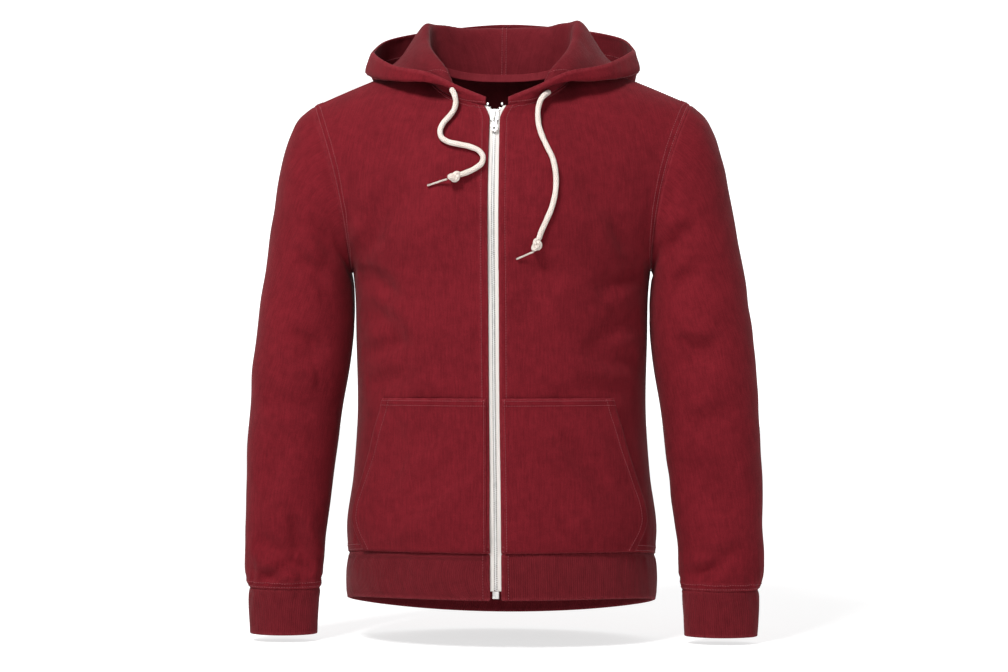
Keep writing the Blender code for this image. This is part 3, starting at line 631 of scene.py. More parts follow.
def mesh_of(name: str, points: Array, faces: Array, uv: Array | None = None, kinds: Array | None = None,
            worn: Array | None = None, shaded: bool = True) -> bpy.types.Mesh:
    """A mesh from arrays.

    Args:
        name: the mesh's name.
        points: its points.
        faces: the points' numbers of each face, all with as many corners.
        uv: metres across and along the cloth at each face's corners.
        kinds: which of the piece's materials each face has.
        worn: how worn the cloth is at each point, from 0 to 1.
        shaded: whether its faces are shaded as one smooth surface.

    Returns:
        The mesh.
    """
    corners = faces.shape[1]
    mesh = bpy.data.meshes.new(name)
    mesh.vertices.add(len(points))
    mesh.vertices.foreach_set("co", np.ascontiguousarray(points, np.float32).ravel())
    mesh.loops.add(faces.size)
    mesh.loops.foreach_set("vertex_index", np.ascontiguousarray(faces, np.int32).ravel())
    mesh.polygons.add(len(faces))
    mesh.polygons.foreach_set("loop_start", np.arange(0, faces.size, corners, dtype=np.int32))
    mesh.polygons.foreach_set("use_smooth", np.full(len(faces), shaded))
    if kinds is not None:
        mesh.polygons.foreach_set("material_index", kinds.astype(np.int32))
    if uv is not None:
        layer = mesh.uv_layers.new(name="cloth")
        layer.data.foreach_set("uv", np.ascontiguousarray(uv, np.float32).ravel())
    if worn is not None:
        mesh.attributes.new("worn", "FLOAT", "POINT").data.foreach_set("value", worn.astype(np.float32))
    mesh.update(calc_edges=True)
    mesh.validate()
    return mesh


def wall(
    name: str, panel: Panel, thickness: float, worn: Array | None = None, depth: float = 0.0
) -> bpy.types.Mesh:
    """A closed wall of cloth with rounded edges.

    Its edge is half a circle, as deep as the cloth is thick, that runs round the grid's border.

    Args:
        name: the mesh's name.
        panel: the outer face.
        thickness: the cloth's thickness.
        worn: how worn the outer face is at each of its points.
        depth: how far the wall's outer face lies behind the panel's.

    Returns:
        The mesh, whose second material is the cloth's inner face.
    """
    rows, columns = panel.points.shape[:2]
    count = rows * columns
    index = np.arange(count).reshape(rows, columns)
    row, column = np.divmod(np.arange(count), columns)
    ways = panel.out.reshape(-1, 3)
    outer = panel.points.reshape(-1, 3) - ways * depth
    inner = outer - ways * thickness
    across, along = panel.lengths(1), panel.lengths(0)
    uv = np.stack([across, np.broadcast_to(along.mean(1, keepdims=True), along.shape)], -1)
    if panel.closed:
        ring = np.linalg.norm(panel.points[:, 0] - panel.points[:, -1], axis=-1)
        last = uv[:, -1:] + np.stack([ring, np.zeros(rows)], -1)[:, None]
        uv = np.concatenate([uv, last], 1)
        wide = np.concatenate([index, index[:, :1]], 1)
        loops = [index[0], index[-1]]
        inside = np.clip(row, 1, rows - 2) * columns + column
    else:
        wide = index
        loops = [np.concatenate([index[0, :-1], index[:-1, -1], index[-1, :0:-1], index[:0:-1, 0]])]
        inside = np.clip(row, 1, rows - 2) * columns + np.clip(column, 1, columns - 2)
    cells = quads(wide)
    corner_uv = uv.reshape(-1, 2)[quads(np.arange(uv[..., 0].size).reshape(uv.shape[:2]))]
    order, back = np.arange(4), np.arange(4)[::-1]
    if not np.array_equal(facing(outer, cells, ways), cells):
        order, back = back, order
    points, faces = [outer, inner], [cells[:, order], cells[:, back] + count]
    uvs, kinds = [corner_uv[:, order], corner_uv[:, back]], [np.zeros(len(cells)), np.ones(len(cells))]
    wear = np.zeros(count) if worn is None else worn.reshape(-1)
    wears = [wear, wear]
    made = 2 * count
    plain_uv = uv[:, : columns].reshape(-1, 2)
    for loop in loops:
        tangent = unit(np.roll(outer[loop], -1, axis=0) - np.roll(outer[loop], 1, axis=0))
        way = outer[loop] - outer[inside[loop]]
        for along_way in (ways[loop], tangent):
            way = way - along_way * np.sum(way * along_way, -1, keepdims=True)
        way = unit(way)
        middle, half = (outer[loop] + inner[loop]) / 2, thickness / 2
        turns = np.array([45, 90, 135]) * math.pi / 180
        rims = [middle + half * (ways[loop] * math.cos(a) + way * math.sin(a)) for a in turns]
        numbers = [loop] + [made + k * len(loop) + np.arange(len(loop)) for k in range(3)] + [loop + count]
        strip = np.stack([np.append(n, n[0]) for n in numbers])
        points += rims
        made += 3 * len(loop)
        rim_faces = quads(strip)
        everything = np.concatenate(points)
        rim_out = np.zeros_like(everything)
        rim_out[numbers[2]] = way
        rim_out[numbers[1]] = unit(way + ways[loop])
        rim_out[numbers[3]] = unit(way - ways[loop])
        rim_out[loop] = way
        rim_faces = facing(everything, rim_faces, rim_out)
        lookup = np.zeros((len(everything), 2))
        lookup[: 2 * count] = np.concatenate([plain_uv, plain_uv])
        for n in numbers[1:4]:
            lookup[n] = plain_uv[loop]
        faces.append(rim_faces)
        uvs.append(lookup[rim_faces])
        kinds.append(np.zeros(len(rim_faces)))
        wears += [wear[loop]] * 3
    return mesh_of(
        name, np.concatenate(points), np.concatenate(faces), np.concatenate(uvs), np.concatenate(kinds),
        np.concatenate(wears),
    )


def repeated(name: str, template: Array, faces: Array, places: Array, axes: Array, sizes: Array) -> bpy.types.Mesh:
    """One small shape repeated many times in one mesh.

    Args:
        name: the mesh's name.
        template: the shape's points in its own frame.
        faces: its faces, all with as many corners.
        places: where each copy stands.
        axes: each copy's three directions, as the rows of a matrix.
        sizes: each copy's size along its own three directions.

    Returns:
        The mesh.
    """
    points = np.einsum("vk,nk,nkj->nvj", template, sizes, axes) + places[:, None]
    all_faces = faces[None] + (np.arange(len(places)) * len(template))[:, None, None]
    return mesh_of(name, points.reshape(-1, 3), all_faces.reshape(-1, faces.shape[1]))


def tube(
    name: str, path: Array, radius: Array, around: int, reference: Array, closed: bool = False
) -> bpy.types.Mesh:
    """A round tube along a path: rings square to it, turned by a direction that it never runs along.

    Args:
        name: the mesh's name.
        path: the points that it follows.
        radius: its radius, one number or one for each ring and point round it.
        around: points in a ring.
        reference: the direction, or one for each point of the path.
        closed: whether the path joins its own start.

    Returns:
        The mesh, with round ends.
    """
    if closed:
        along = unit(np.roll(path, -1, axis=0) - np.roll(path, 1, axis=0))
    else:
        along = unit(np.gradient(path, axis=0))
    side = unit(np.cross(along, np.broadcast_to(reference, path.shape)))
    up = np.cross(side, along)
    turn = np.linspace(0, 2 * math.pi, around, endpoint=False)[None, :, None]
    ring = side[:, None] * np.cos(turn) + up[:, None] * np.sin(turn)
    radius = np.broadcast_to(radius, ring.shape[:2])[..., None]
    far = np.concatenate([[0], np.cumsum(np.linalg.norm(np.diff(path, axis=0), axis=1))])
    if not closed:
        caps = np.array([0.98, 0.86, 0.60, 0.22])
        lift = np.sqrt(1 - caps**2)
        r0, r1 = radius[0], radius[-1]
        first = path[0] + ring[0][None] * r0[None] * caps[::-1, None, None]
        first = first - along[0] * r0.mean() * lift[::-1, None, None]
        last = path[-1] + ring[-1][None] * r1[None] * caps[:, None, None]
        last = last + along[-1] * r1.mean() * lift[:, None, None]
        points = np.concatenate([first, path[:, None] + ring * radius, last])
        far = np.concatenate([far[0] - r0.mean() * lift[::-1], far, far[-1] + r1.mean() * lift])
    else:
        points = path[:, None] + ring * radius
    rows = len(points)
    index = np.arange(rows * around).reshape(rows, around)
    wide = np.concatenate([index, index[:, :1]], 1)
    if closed:
        wide = np.concatenate([wide, wide[:1]])
        far = np.append(far, far[-1] + np.linalg.norm(path[0] - path[-1]))
    share = np.linspace(0, 1, around + 1)
    uv = np.stack(np.broadcast_arrays(share[None, :], far[:, None]), -1).reshape(-1, 2)
    cells = quads(wide)
    uv_cells = quads(np.arange(uv.shape[0]).reshape(len(far), around + 1))
    flat = points.reshape(-1, 3)
    spokes = (points - points.mean(1, keepdims=True)).reshape(-1, 3)
    turned = not np.array_equal(facing(flat, cells, spokes), cells)
    order = np.arange(4)[::-1] if turned else np.arange(4)
    cells, corner_uv = cells[:, order], uv[uv_cells[:, order]]
    if not closed:
        reach = MM * 0.05
        tips = np.stack([points[0].mean(0) - along[0] * reach, points[-1].mean(0) + along[-1] * reach])
        flat = np.concatenate([flat, tips])
        ends = []
        first_end, last_end = (index[0], rows * around, -along[0]), (index[-1], rows * around + 1, along[-1])
        for ring_index, tip, way in (first_end, last_end):
            beside = np.roll(ring_index, -1)
            fan = np.stack([ring_index, beside, np.full(around, tip), np.full(around, tip)], 1)
            a, b, c = (flat[fan[:, k]] for k in range(3))
            if np.sum(np.cross(b - a, c - a) @ way) < 0:
                fan = fan[:, [1, 0, 2, 3]]
            ends.append(fan)
        fans = np.concatenate(ends)
        mesh = bpy.data.meshes.new(name)
        faces = [tuple(f) for f in cells.tolist()] + [tuple(f[:3]) for f in fans.tolist()]
        mesh.from_pydata(flat.tolist(), [], faces)
        layer = mesh.uv_layers.new(name="cloth")
        fan_uv = np.zeros((len(fans) * 3, 2))
        layer.data.foreach_set("uv", np.concatenate([corner_uv.reshape(-1, 2), fan_uv]).astype(np.float32).ravel())
        mesh.polygons.foreach_set("use_smooth", np.ones(len(faces), bool))
        mesh.update()
        return mesh
    return mesh_of(name, flat, cells, corner_uv.reshape(-1, 2))


# ---------------------------------------------------------------------------------------------------------
# The garment's own form: the same curves as its solids have


@dataclass(frozen=True)
class Cut:
    """The garment's sizes."""

    fleece: float = 0.0022
    rib: float = 0.0026
    hood_layer: float = 0.0013
    pocket_wall: float = 0.0018
    neck_tape: float = 0.0010
    seam_gap: float = 0.0003
    underarm: float = -0.257
    front_neck: float = -0.064
    back_neck: float = -0.020
    hem_seam: float = -0.591
    hem_edge: float = -0.645
    back_hem_drop: float = 0.039
    neck_half_width: float = 0.088
    front_neck_depth: float = 0.100
    back_neck_depth: float = 0.055
    shoulder_tip: tuple = (0.2295, -0.056)
    neck_share: float = 0.5
    armhole_depth: float = 0.064
    front_scoop: float = 0.010
    back_scoop: float = 0.004
    zip_edge: float = 0.0060
    zip_edge_open: float = 0.0135
    zip_opens_at: float = -0.080
    wider_right_sleeve: float = 0.006
    sleeve_clears_body: float = 0.0032


CUT = Cut()

# The body's rings from the underarm, 0, down to the hem seam, 1
TORSO = Table(
    "down half_width front_depth back_depth",
    (0.00, 0.1812, 0.1280, 0.1220),
    (0.04, 0.1795, 0.1280, 0.1220),
    (0.25, 0.1770, 0.1265, 0.1180),
    (0.50, 0.1755, 0.1225, 0.1120),
    (0.72, 0.1805, 0.1220, 0.1125),
    (0.92, 0.1885, 0.1260, 0.1165),
    (1.00, 0.1862, 0.1235, 0.1145),
)
# The hem band, from its seam, 0, to its edge, 1
HEM_BAND = Table(
    "down half_width front_depth back_depth",
    (0.00, 0.1862, 0.1235, 0.1145),
    (0.25, 0.1885, 0.1255, 0.1165),
    (0.80, 0.1885, 0.1255, 0.1165),
    (1.00, 0.1875, 0.1245, 0.1155),
)
# A sleeve's sections from the armhole, 0, to the cuff's seam, 1
SLEEVE = Table(
    "along inner_x inner_z outer_x outer_z depth forward",
    (0.00, 0.1812, -0.257, 0.2295, -0.056, 0.0640, 0.000),
    (0.03, 0.1836, -0.262, 0.2440, -0.067, 0.0645, 0.000),
    (0.08, 0.1810, -0.272, 0.2575, -0.091, 0.0640, 0.002),
    (0.15, 0.1790, -0.290, 0.2685, -0.130, 0.0625, 0.004),
    (0.24, 0.1790, -0.316, 0.2775, -0.185, 0.0605, 0.006),
    (0.34, 0.1810, -0.345, 0.2865, -0.245, 0.0585, 0.009),
    (0.44, 0.1850, -0.378, 0.2955, -0.315, 0.0550, 0.012),
    (0.54, 0.1930, -0.425, 0.3030, -0.385, 0.0510, 0.015),
    (0.65, 0.1995, -0.480, 0.3070, -0.455, 0.0470, 0.019),
    (0.76, 0.2060, -0.530, 0.3090, -0.520, 0.0430, 0.023),
    (0.87, 0.2120, -0.582, 0.3095, -0.580, 0.0390, 0.027),
    (0.95, 0.2150, -0.622, 0.3090, -0.622, 0.0350, 0.030),
    (1.00, 0.2180, -0.640, 0.3040, -0.640, 0.0290, 0.031),
)
# A cuff, from its seam, 0, to its edge, 1
CUFF = Table(
    "along inner_x inner_z outer_x outer_z depth forward",
    (0.00, 0.2180, -0.640, 0.3040, -0.640, 0.0290, 0.031),
    (0.30, 0.2190, -0.656, 0.3050, -0.656, 0.0275, 0.032),
    (1.00, 0.2215, -0.695, 0.3030, -0.695, 0.0260, 0.034),
)
# The hood lying down, by the angle round the neck from the front: up from the neck seam to a ridge, out
# and down into a bag, and up its belly to the rim
HOOD = Table(
    "angle ridge_out ridge_up bag_out bag_up belly_out belly_up rim_out rim_up",
    (0, 0.1003, -0.0622, 0.1006, -0.0607, 0.1009, -0.0592, 0.1012, -0.0578),
    (20, 0.0995, -0.0590, 0.1000, -0.0560, 0.1005, -0.0525, 0.1010, -0.0490),
    (35, 0.0980, -0.0420, 0.1020, -0.0380, 0.1060, -0.0370, 0.1080, -0.0310),
    (50, 0.0970, -0.0060, 0.1080, -0.0260, 0.1190, -0.0340, 0.1220, -0.0210),
    (70, 0.0930, 0.0120, 0.1180, -0.0180, 0.1420, -0.0280, 0.1400, -0.0100),
    (90, 0.0920, 0.0360, 0.1280, -0.0060, 0.1630, -0.0180, 0.1560, 0.0080),
    (105, 0.0925, 0.0466, 0.1380, -0.0160, 0.1700, -0.0140, 0.1660, 0.0200),
    (125, 0.0820, 0.0460, 0.1500, -0.0950, 0.1780, -0.0600, 0.1680, 0.0410),
    (150, 0.0770, 0.0450, 0.1500, -0.1800, 0.1760, -0.1100, 0.1520, 0.0560),
    (180, 0.0750, 0.0460, 0.1480, -0.2050, 0.1780, -0.1300, 0.1450, 0.0635),
)
# How far the zip wanders off the middle, by height
ZIP_LINE = Table(
    "height across",
    (-0.66, 0.0000),
    (-0.53, -0.0010),
    (-0.41, -0.0025),
    (-0.30, -0.0030),
    (-0.17, -0.0040),
    (-0.05, -0.0025),
)
# A pocket, from its top edge, 0, to the hem seam, 1: how far down the body, and round it
POCKET = Table(
    "down body_down round",
    (0.00, 0.455, 0.555),
    (0.35, 0.640, 0.635),
    (0.72, 0.850, 0.735),
    (0.80, 0.885, 0.735),
    (1.00, 0.994, 0.655),
)


class Form:
    """The curves that the garment's pieces lie on."""

    @staticmethod
    def off_middle(points: Array) -> Array:
        """The points moved across with the zip, most at the centre front and not at all at the sides."""
        near = np.clip(1 - np.abs(points[..., 0]) / 0.10, 0, 1) ** 2
        front = np.clip(-points[..., 1] / 0.08, 0, 1)
        moved = points.copy()
        moved[..., 0] += ZIP_LINE("across", points[..., 2]) * near * front
        return moved

    @staticmethod
    def front_edge(height: Array) -> Array:
        """Half the gap between the two fronts: even below the slider, wider above it."""
        opens = np.clip((height - CUT.zip_opens_at) / (CUT.front_neck - CUT.zip_opens_at), 0, 1)
        return mixed(CUT.zip_edge, CUT.zip_edge_open, opens**1.5)

    @staticmethod
    def drop(around: Array) -> Array:
        """How much lower the hem is at an angle round the body, from the front to the back."""
        return CUT.back_hem_drop * ((1 - np.cos(around)) / 2) ** 1.9

    @staticmethod
    def ring(table: Table, down: Array, around: Array, height: Array) -> Array:
        """The body's ring: half an ellipse in front and half a shallower one behind."""
        depth = np.where(np.cos(around) > 0, table("front_depth", down), table("back_depth", down))
        return spatial(table("half_width", down) * np.sin(around), -depth * np.cos(around), height)

    @staticmethod
    def angle_round(front: bool, u: Array) -> Array:
        """The angle round the body of a panel's column, from its centre line, 0, to the side seam, 1."""
        if not front:
            return math.pi - u * math.pi / 2
        start = np.arcsin(CUT.zip_edge / TORSO("half_width", 0.5))
        return start + u * (math.pi / 2 - start)

    def lower(self, front: bool, u: Array, down: Array) -> Array:
        """The body below the underarm: its rings, each at its share of the way down to the hem seam."""
        around = self.angle_round(front, u)
        return self.ring(TORSO, down, around, mixed(CUT.underarm, CUT.hem_seam - self.drop(around), down))

    def centre_line(self, front: bool, t: Array) -> Array:
        """The centre front or back from the underarm's height, 0, to the neck, 1, on an arc of a circle."""
        sign, depth, neck, top, turn = (
            (-1, TORSO("front_depth", 0), CUT.front_neck_depth, CUT.front_neck, math.radians(40))
            if front
            else (1, TORSO("back_depth", 0), CUT.back_neck_depth, CUT.back_neck, math.radians(62))
        )
        height = mixed(CUT.underarm, top, np.sin(turn * t) / math.sin(turn))
        y = sign * mixed(depth, neck, (1 - np.cos(turn * t)) / (1 - math.cos(turn)))
        return spatial(self.front_edge(height) if front else 0, y, height)

    @staticmethod
    def neckline(front: bool, turn: Array) -> Array:
        """The neck seam by a turn from the centre line to the shoulder: half an ellipse that falls."""
        sign, depth, height, power = (
            (-1, CUT.front_neck_depth, CUT.front_neck, 0.7)
            if front
            else (1, CUT.back_neck_depth, CUT.back_neck, 0.8)
        )
        fall = np.clip(np.cos(turn), 0, 1)
        return spatial(CUT.neck_half_width * np.sin(turn), sign * depth * fall, height * fall**power)

    def top_edge(self, front: bool, u: Array) -> Array:
        """A panel's top: its neckline, then its shoulder seam, which drops faster near its tip."""
        start = math.asin(CUT.zip_edge_open / CUT.neck_half_width) if front else 0
        neck = self.neckline(front, start + np.clip(u / CUT.neck_share, 0, 1) * (math.pi / 2 - start))
        out = np.clip((u - CUT.neck_share) / (1 - CUT.neck_share), 0, 1)
        tip = CUT.shoulder_tip
        shoulder = spatial(mixed(CUT.neck_half_width, tip[0], out), 0, tip[1] * out**1.15)
        return np.where((u > CUT.neck_share)[..., None], shoulder, neck)

    @staticmethod
    def armhole(turn: Array) -> tuple[Array, Array]:
        """The armhole's loop from the underarm, 0, up the front to the shoulder tip, pi, and the way
        straight out of it: an ellipse, scooped in at the front and back."""
        low = np.array([TORSO("half_width", 0), 0, CUT.underarm])
        high = np.array([CUT.shoulder_tip[0], 0, CUT.shoulder_tip[1]])
        reach = (high - low) / 2
        scoop = np.where(np.sin(turn) > 0, CUT.front_scoop, CUT.back_scoop) * np.sin(turn) ** 2
        c, s = np.cos(turn)[..., None], np.sin(turn)[..., None]
        forward = np.array([0, -CUT.armhole_depth, 0])
        points = (low + high) / 2 - reach * c + forward * s - spatial(scoop, 0, 0)
        return points, unit(-reach * c / (reach @ reach) + forward * s / (forward @ forward))

    def upper(self, front: bool, u: Array, t: Array) -> Array:
        """The body above the underarm: a patch between the ring, the centre line, the armhole and the top.
        Going up, its depth follows a quarter circle's cosine and its height the sine."""
        turn = t * math.pi / 2
        rise = spatial(t, 1 - np.cos(turn), np.sin(turn))
        arm = self.armhole(t * math.pi if front else -t * math.pi)[0]
        u1 = u[..., None]
        zero = np.zeros_like(u)
        one = zero + 1
        low_in, low_out = self.lower(front, zero, zero), self.lower(front, one, zero)
        high_in, high_out = self.top_edge(front, zero), self.top_edge(front, one)
        corner = mixed(mixed(low_in, high_in, rise), mixed(low_out, high_out, rise), u1)
        up = mixed(self.lower(front, u, zero), self.top_edge(front, u), rise)
        return up + mixed(self.centre_line(front, t), arm, u1) - corner

    def half_panel(self, front: bool, u: Array, down: Array, t: Array) -> Array:
        """Half a panel's points, hem seam first, in rows from the centre line to the side."""
        low = self.lower(front, *np.broadcast_arrays(u[None, :], down[:, None]))
        high = self.upper(front, *np.broadcast_arrays(u[None, :], t[:, None]))
        return np.concatenate([low, high])

    @staticmethod
    def sleeve_section(table: Table, along: Array, turn: Array, wider: bool) -> Array:
        """Points round a sleeve's or cuff's section, an ellipse from its inner point to its outer one."""
        wide = 0.0
        if wider:
            wide = CUT.wider_right_sleeve * (1 if table is CUFF else np.clip(along * 3 - 0.3, 0, 1))
        inner = spatial(table("inner_x", along), 0, table("inner_z", along))
        outer = spatial(table("outer_x", along) + wide, 0, table("outer_z", along))
        reach = (outer - inner) / 2
        c, s = np.cos(turn)[..., None], np.sin(turn)[..., None]
        across = spatial(0, -table("forward", along) - table("depth", along) * s[..., 0], 0)
        return (inner + outer) / 2 - reach * c + across

    @staticmethod
    def clear_of_body(points: Array) -> Array:
        """A sleeve's points, moved out to where they are just clear of the body's side."""
        down = np.clip((CUT.underarm - points[..., 2]) / (CUT.underarm - CUT.hem_seam), 0, 1)
        depth = np.where(points[..., 1] < 0, TORSO("front_depth", down), TORSO("back_depth", down))
        side = np.sqrt(np.clip(1 - (points[..., 1] / depth) ** 2, 0, 1))
        least = TORSO("half_width", down) * side + CUT.sleeve_clears_body
        short = np.maximum(least - points[..., 0], 0) * eased(CUT.underarm - points[..., 2], 0.0, 0.012)
        moved = points.copy()
        moved[..., 0] += short
        return moved

    def neck_seam(self, front: bool, u: Array) -> tuple[Array, Array]:
        """Points of the neck seam, and the way straight out through both cloths."""
        points = self.top_edge(front, u)
        flat = unit(points * np.array([1, 1, 0]))
        tilt = np.clip(np.abs(points[:, 0]) / CUT.neck_half_width, 0, 1)[:, None] * math.radians(42)
        if not front:
            tilt = tilt * 0.5 + math.radians(21)
        return points, flat * np.cos(tilt) + np.array([0, 0, 1]) * np.sin(tilt)


FORM = Form()


# ---------------------------------------------------------------------------------------------------------
# Folds


class Folds:
    """Creases listed one by one, each a soft trough with a ridge beside it along a bowed line.

    Its cross section is a round trough of the given depth, or a ridge where the depth is below zero, and
    a lower ridge to one side. It fades at both ends.
    """

    # piece, side it shows on (-1 front, 1 back), its two ends in mm, how far it bows, its width and depth
    ROWS = (
        # Fronts: from the armpits, over the chest and round the waist
        ("front", -1, -172, -262, -120, -300, 10, 13, 1.7),
        ("front", -1, -168, -300, -112, -352, 8, 15, 1.5),
        ("front", -1, -166, -352, -104, -338, -7, 13, 1.3),
        ("front", -1, -160, -392, -96, -372, -6, 14, 1.2),
        ("front", -1, -168, -246, -146, -190, -8, 13, 1.5),
        ("front", -1, -150, -205, -84, -168, 9, 20, 1.0),
        ("front", -1, -66, -196, -34, -300, 8, 20, 0.9),
        ("front", -1, -120, -438, -60, -420, 6, 15, 0.8),
        ("front", -1, 172, -262, 118, -290, -8, 13, 1.7),
        ("front", -1, 168, -318, 110, -356, -9, 15, 1.6),
        ("front", -1, 164, -362, 96, -350, 7, 13, 1.4),
        ("front", -1, 158, -396, 92, -384, 6, 13, 1.1),
        ("front", -1, 166, -240, 142, -186, 9, 13, 1.5),
        ("front", -1, 146, -198, 92, -160, -8, 20, 1.0),
        ("front", -1, 64, -236, 40, -330, -7, 22, 0.9),
        ("front", -1, 118, -420, 60, -408, -6, 15, 0.8),
        ("front", -1, 20, -560, 34, -588, 2, 8, -1.2),
        ("front", -1, -26, -545, -38, -585, -2, 9, 0.8),
        # Pockets
        ("pocket", -1, 24, -424, 102, -548, -7, 11, 1.9),
        ("pocket", -1, 70, -452, 128, -520, 6, 12, 1.2),
        ("pocket", -1, 34, -500, 82, -572, 4, 14, 0.9),
        ("pocket", -1, -34, -478, -140, -560, 6, 14, 1.7),
        ("pocket", -1, -60, -440, -122, -494, -5, 13, 1.1),
        ("pocket", -1, -118, -430, -128, -520, 5, 10, 1.0),
        # Back
        ("back", 1, -172, -262, -96, -300, 10, 16, 2.0),
        ("back", 1, -168, -312, -70, -360, 8, 18, 1.8),
        ("back", 1, -164, -366, -84, -352, -7, 16, 1.4),
        ("back", 1, -160, -420, -60, -404, -9, 17, 1.3),
        ("back", 1, -150, -500, -66, -470, -8, 20, 1.1),
        ("back", 1, 172, -258, 104, -306, -10, 16, 2.0),
        ("back", 1, 168, -324, 78, -352, -8, 18, 1.7),
        ("back", 1, 164, -378, 70, -376, 8, 16, 1.4),
        ("back", 1, 158, -436, 74, -410, 8, 18, 1.2),
        ("back", 1, 148, -520, 70, -490, 9, 20, 1.0),
        ("back", 1, -120, -560, -104, -606, 4, 12, 1.0),
        ("back", 1, 96, -566, 108, -612, -4, 12, 1.0),
        ("back", 1, -10, -480, 26, -580, 10, 24, 1.0),
        ("back", 1, -166, -216, -128, -160, -8, 16, 1.5),
        ("back", 1, 166, -216, 126, -164, 8, 16, 1.5),
        # Hood, where it hangs down the back, and over its lobes
        ("hood", 1, -112, 14, -34, -92, 10, 16, 1.0),
        ("hood", 1, -84, 30, -20, -64, 8, 18, 0.8),
        ("hood", 1, 106, 6, 40, -98, -10, 16, 1.0),
        ("hood", 1, 66, 34, 16, -72, -7, 18, 0.7),
        ("hood", 1, -128, -16, -76, -84, 6, 12, 0.7),
        ("hood", -1, -150, 12, -96, -22, -5, 8, 0.7),
        ("hood", -1, 146, 14, 100, -20, 5, 8, 0.7),
        # Sleeves: out of the armpit, at the elbow and above the cuff
        ("sleeve", -1, -190, -262, -236, -196, -9, 12, 2.0),
        ("sleeve", -1, -188, -292, -246, -244, -8, 12, 1.6),
        ("sleeve", -1, -186, -352, -252, -330, 7, 12, 2.2),
        ("sleeve", -1, -192, -394, -246, -356, -6, 10, 1.7),
        ("sleeve", -1, -204, -420, -280, -402, 7, 14, 1.4),
        ("sleeve", -1, -246, -548, -222, -612, -6, 9, 2.2),
        ("sleeve", -1, -238, -600, -290, -574, 6, 11, 1.6),
        ("sleeve", -1, -224, -622, -268, -608, -4, 8, 1.9),
        ("sleeve", -1, -286, -628, -250, -618, 3, 8, 1.2),
        ("sleeve", -1, -266, -470, -288, -520, 7, 16, 1.2),
        ("sleeve", -1, 190, -262, 240, -202, 9, 12, 2.0),
        ("sleeve", -1, 188, -300, 244, -262, 8, 12, 1.5),
        ("sleeve", -1, 196, -338, 264, -346, -6, 11, 2.1),
        ("sleeve", -1, 198, -384, 266, -364, 7, 12, 1.3),
        ("sleeve", -1, 210, -440, 280, -420, -7, 14, 1.2),
        ("sleeve", -1, 236, -600, 296, -586, -5, 11, 1.4),
        ("sleeve", -1, 228, -624, 272, -612, 4, 8, 1.7),
        ("sleeve", -1, 262, -480, 290, -540, -7, 16, 1.1),
        ("sleeve", 1, -190, -262, -244, -206, -9, 14, 2.0),
        ("sleeve", 1, -192, -330, -268, -306, 8, 13, 1.9),
        ("sleeve", 1, -198, -382, -276, -366, -7, 13, 1.8),
        ("sleeve", 1, -206, -430, -284, -420, 6, 14, 1.4),
        ("sleeve", 1, -226, -590, -292, -566, 6, 12, 1.7),
        ("sleeve", 1, -224, -622, -280, -608, -4, 9, 1.7),
        ("sleeve", 1, 190, -262, 244, -210, 9, 14, 2.0),
        ("sleeve", 1, 192, -322, 266, -312, -8, 13, 1.9),
        ("sleeve", 1, 200, -378, 280, -352, 7, 13, 1.7),
        ("sleeve", 1, 208, -440, 286, -416, -6, 14, 1.4),
        ("sleeve", 1, 228, -584, 300, -570, -6, 12, 1.6),
        ("sleeve", 1, 226, -620, 286, -606, 4, 9, 1.6),
    )
    STEPS = 28
    DEEPER = 3.9

    def __init__(self) -> None:
        """Shares of a crease's length at which its line is read."""
        self.share = np.linspace(0, 1, self.STEPS)

    def relief(self, piece: str, panel: Panel) -> Array:
        """How far the piece's folds move each of its points out."""
        total = np.zeros(panel.points.shape[:2])
        flat = panel.points[..., [0, 2]]
        for name, side, x0, z0, x1, z1, bow, width, depth in self.ROWS:
            if name != piece or np.sign(x0) * np.sign(np.median(flat[..., 0])) < -0.5:
                continue
            faces = eased(panel.out[..., 1] * side, 0.05, 0.45)
            total += self.crease(flat, (x0, z0), (x1, z1), bow, width) * depth * self.DEEPER * MM * faces
        return total

    def crease(self, flat: Array, start: tuple, end: tuple, bow: float, width: float) -> Array:
        """One crease of depth 1, seen square on.

        Args:
            flat: the points, across and up.
            start: its start in millimetres.
            end: its end.
            bow: how far its middle lies off the straight line.
            width: half the trough's width.

        Returns:
            How far each point moves out.
        """
        start, end = np.array(start) * MM, np.array(end) * MM
        way = end - start
        square = unit(np.array([-way[1], way[0]]))
        line = start + way * self.share[:, None] + square * (bow * MM * 4 * self.share * (1 - self.share))[:, None]
        low, high = line.min(0) - 4 * width * MM, line.max(0) + 4 * width * MM
        near = np.all((flat > low) & (flat < high), axis=-1)
        moved = np.zeros(flat.shape[:-1])
        if not near.any():
            return moved
        spots = flat[near]
        gaps = spots[:, None] - line[None]
        far = np.linalg.norm(gaps, axis=-1)
        closest = far.argmin(1)
        row = np.arange(len(spots))
        signed = np.sum(gaps[row, closest] * square, -1) / (width * MM)
        away = far[row, closest] / (width * MM)
        fades = np.sin(math.pi * np.clip(self.share[closest], 0.001, 0.999)) ** 0.7
        shape = -np.exp(-(away**2)) + 0.55 * np.exp(-((signed - 1.6) ** 2) / 0.9) * (away < 3.5)
        moved[near] = shape * fades
        return moved


FOLDS = Folds()


def seam_relief(distance: Array, rows: Sequence[float] = (), allowance: float = 0.0) -> Array:
    """How a seam moves the cloth beside it.

    The cloth dips into the seam, stands proud over the turned allowance, dips at each row of stitches,
    and is drawn up in small puckers further in.

    Args:
        distance: how far each point is from the seam.
        rows: how far from the seam each row of stitches is.
        allowance: how wide the doubled cloth is.

    Returns:
        How far each point moves out.
    """
    moved = -0.0005 * np.exp(-((distance / 0.0012) ** 2))
    if allowance:
        moved += 0.0006 * eased(distance, 0.0002, 0.002) * (1 - eased(distance, allowance, allowance + 0.003))
    for row in rows:
        moved -= 0.0004 * hump(distance, row, 0.0009)
    return moved


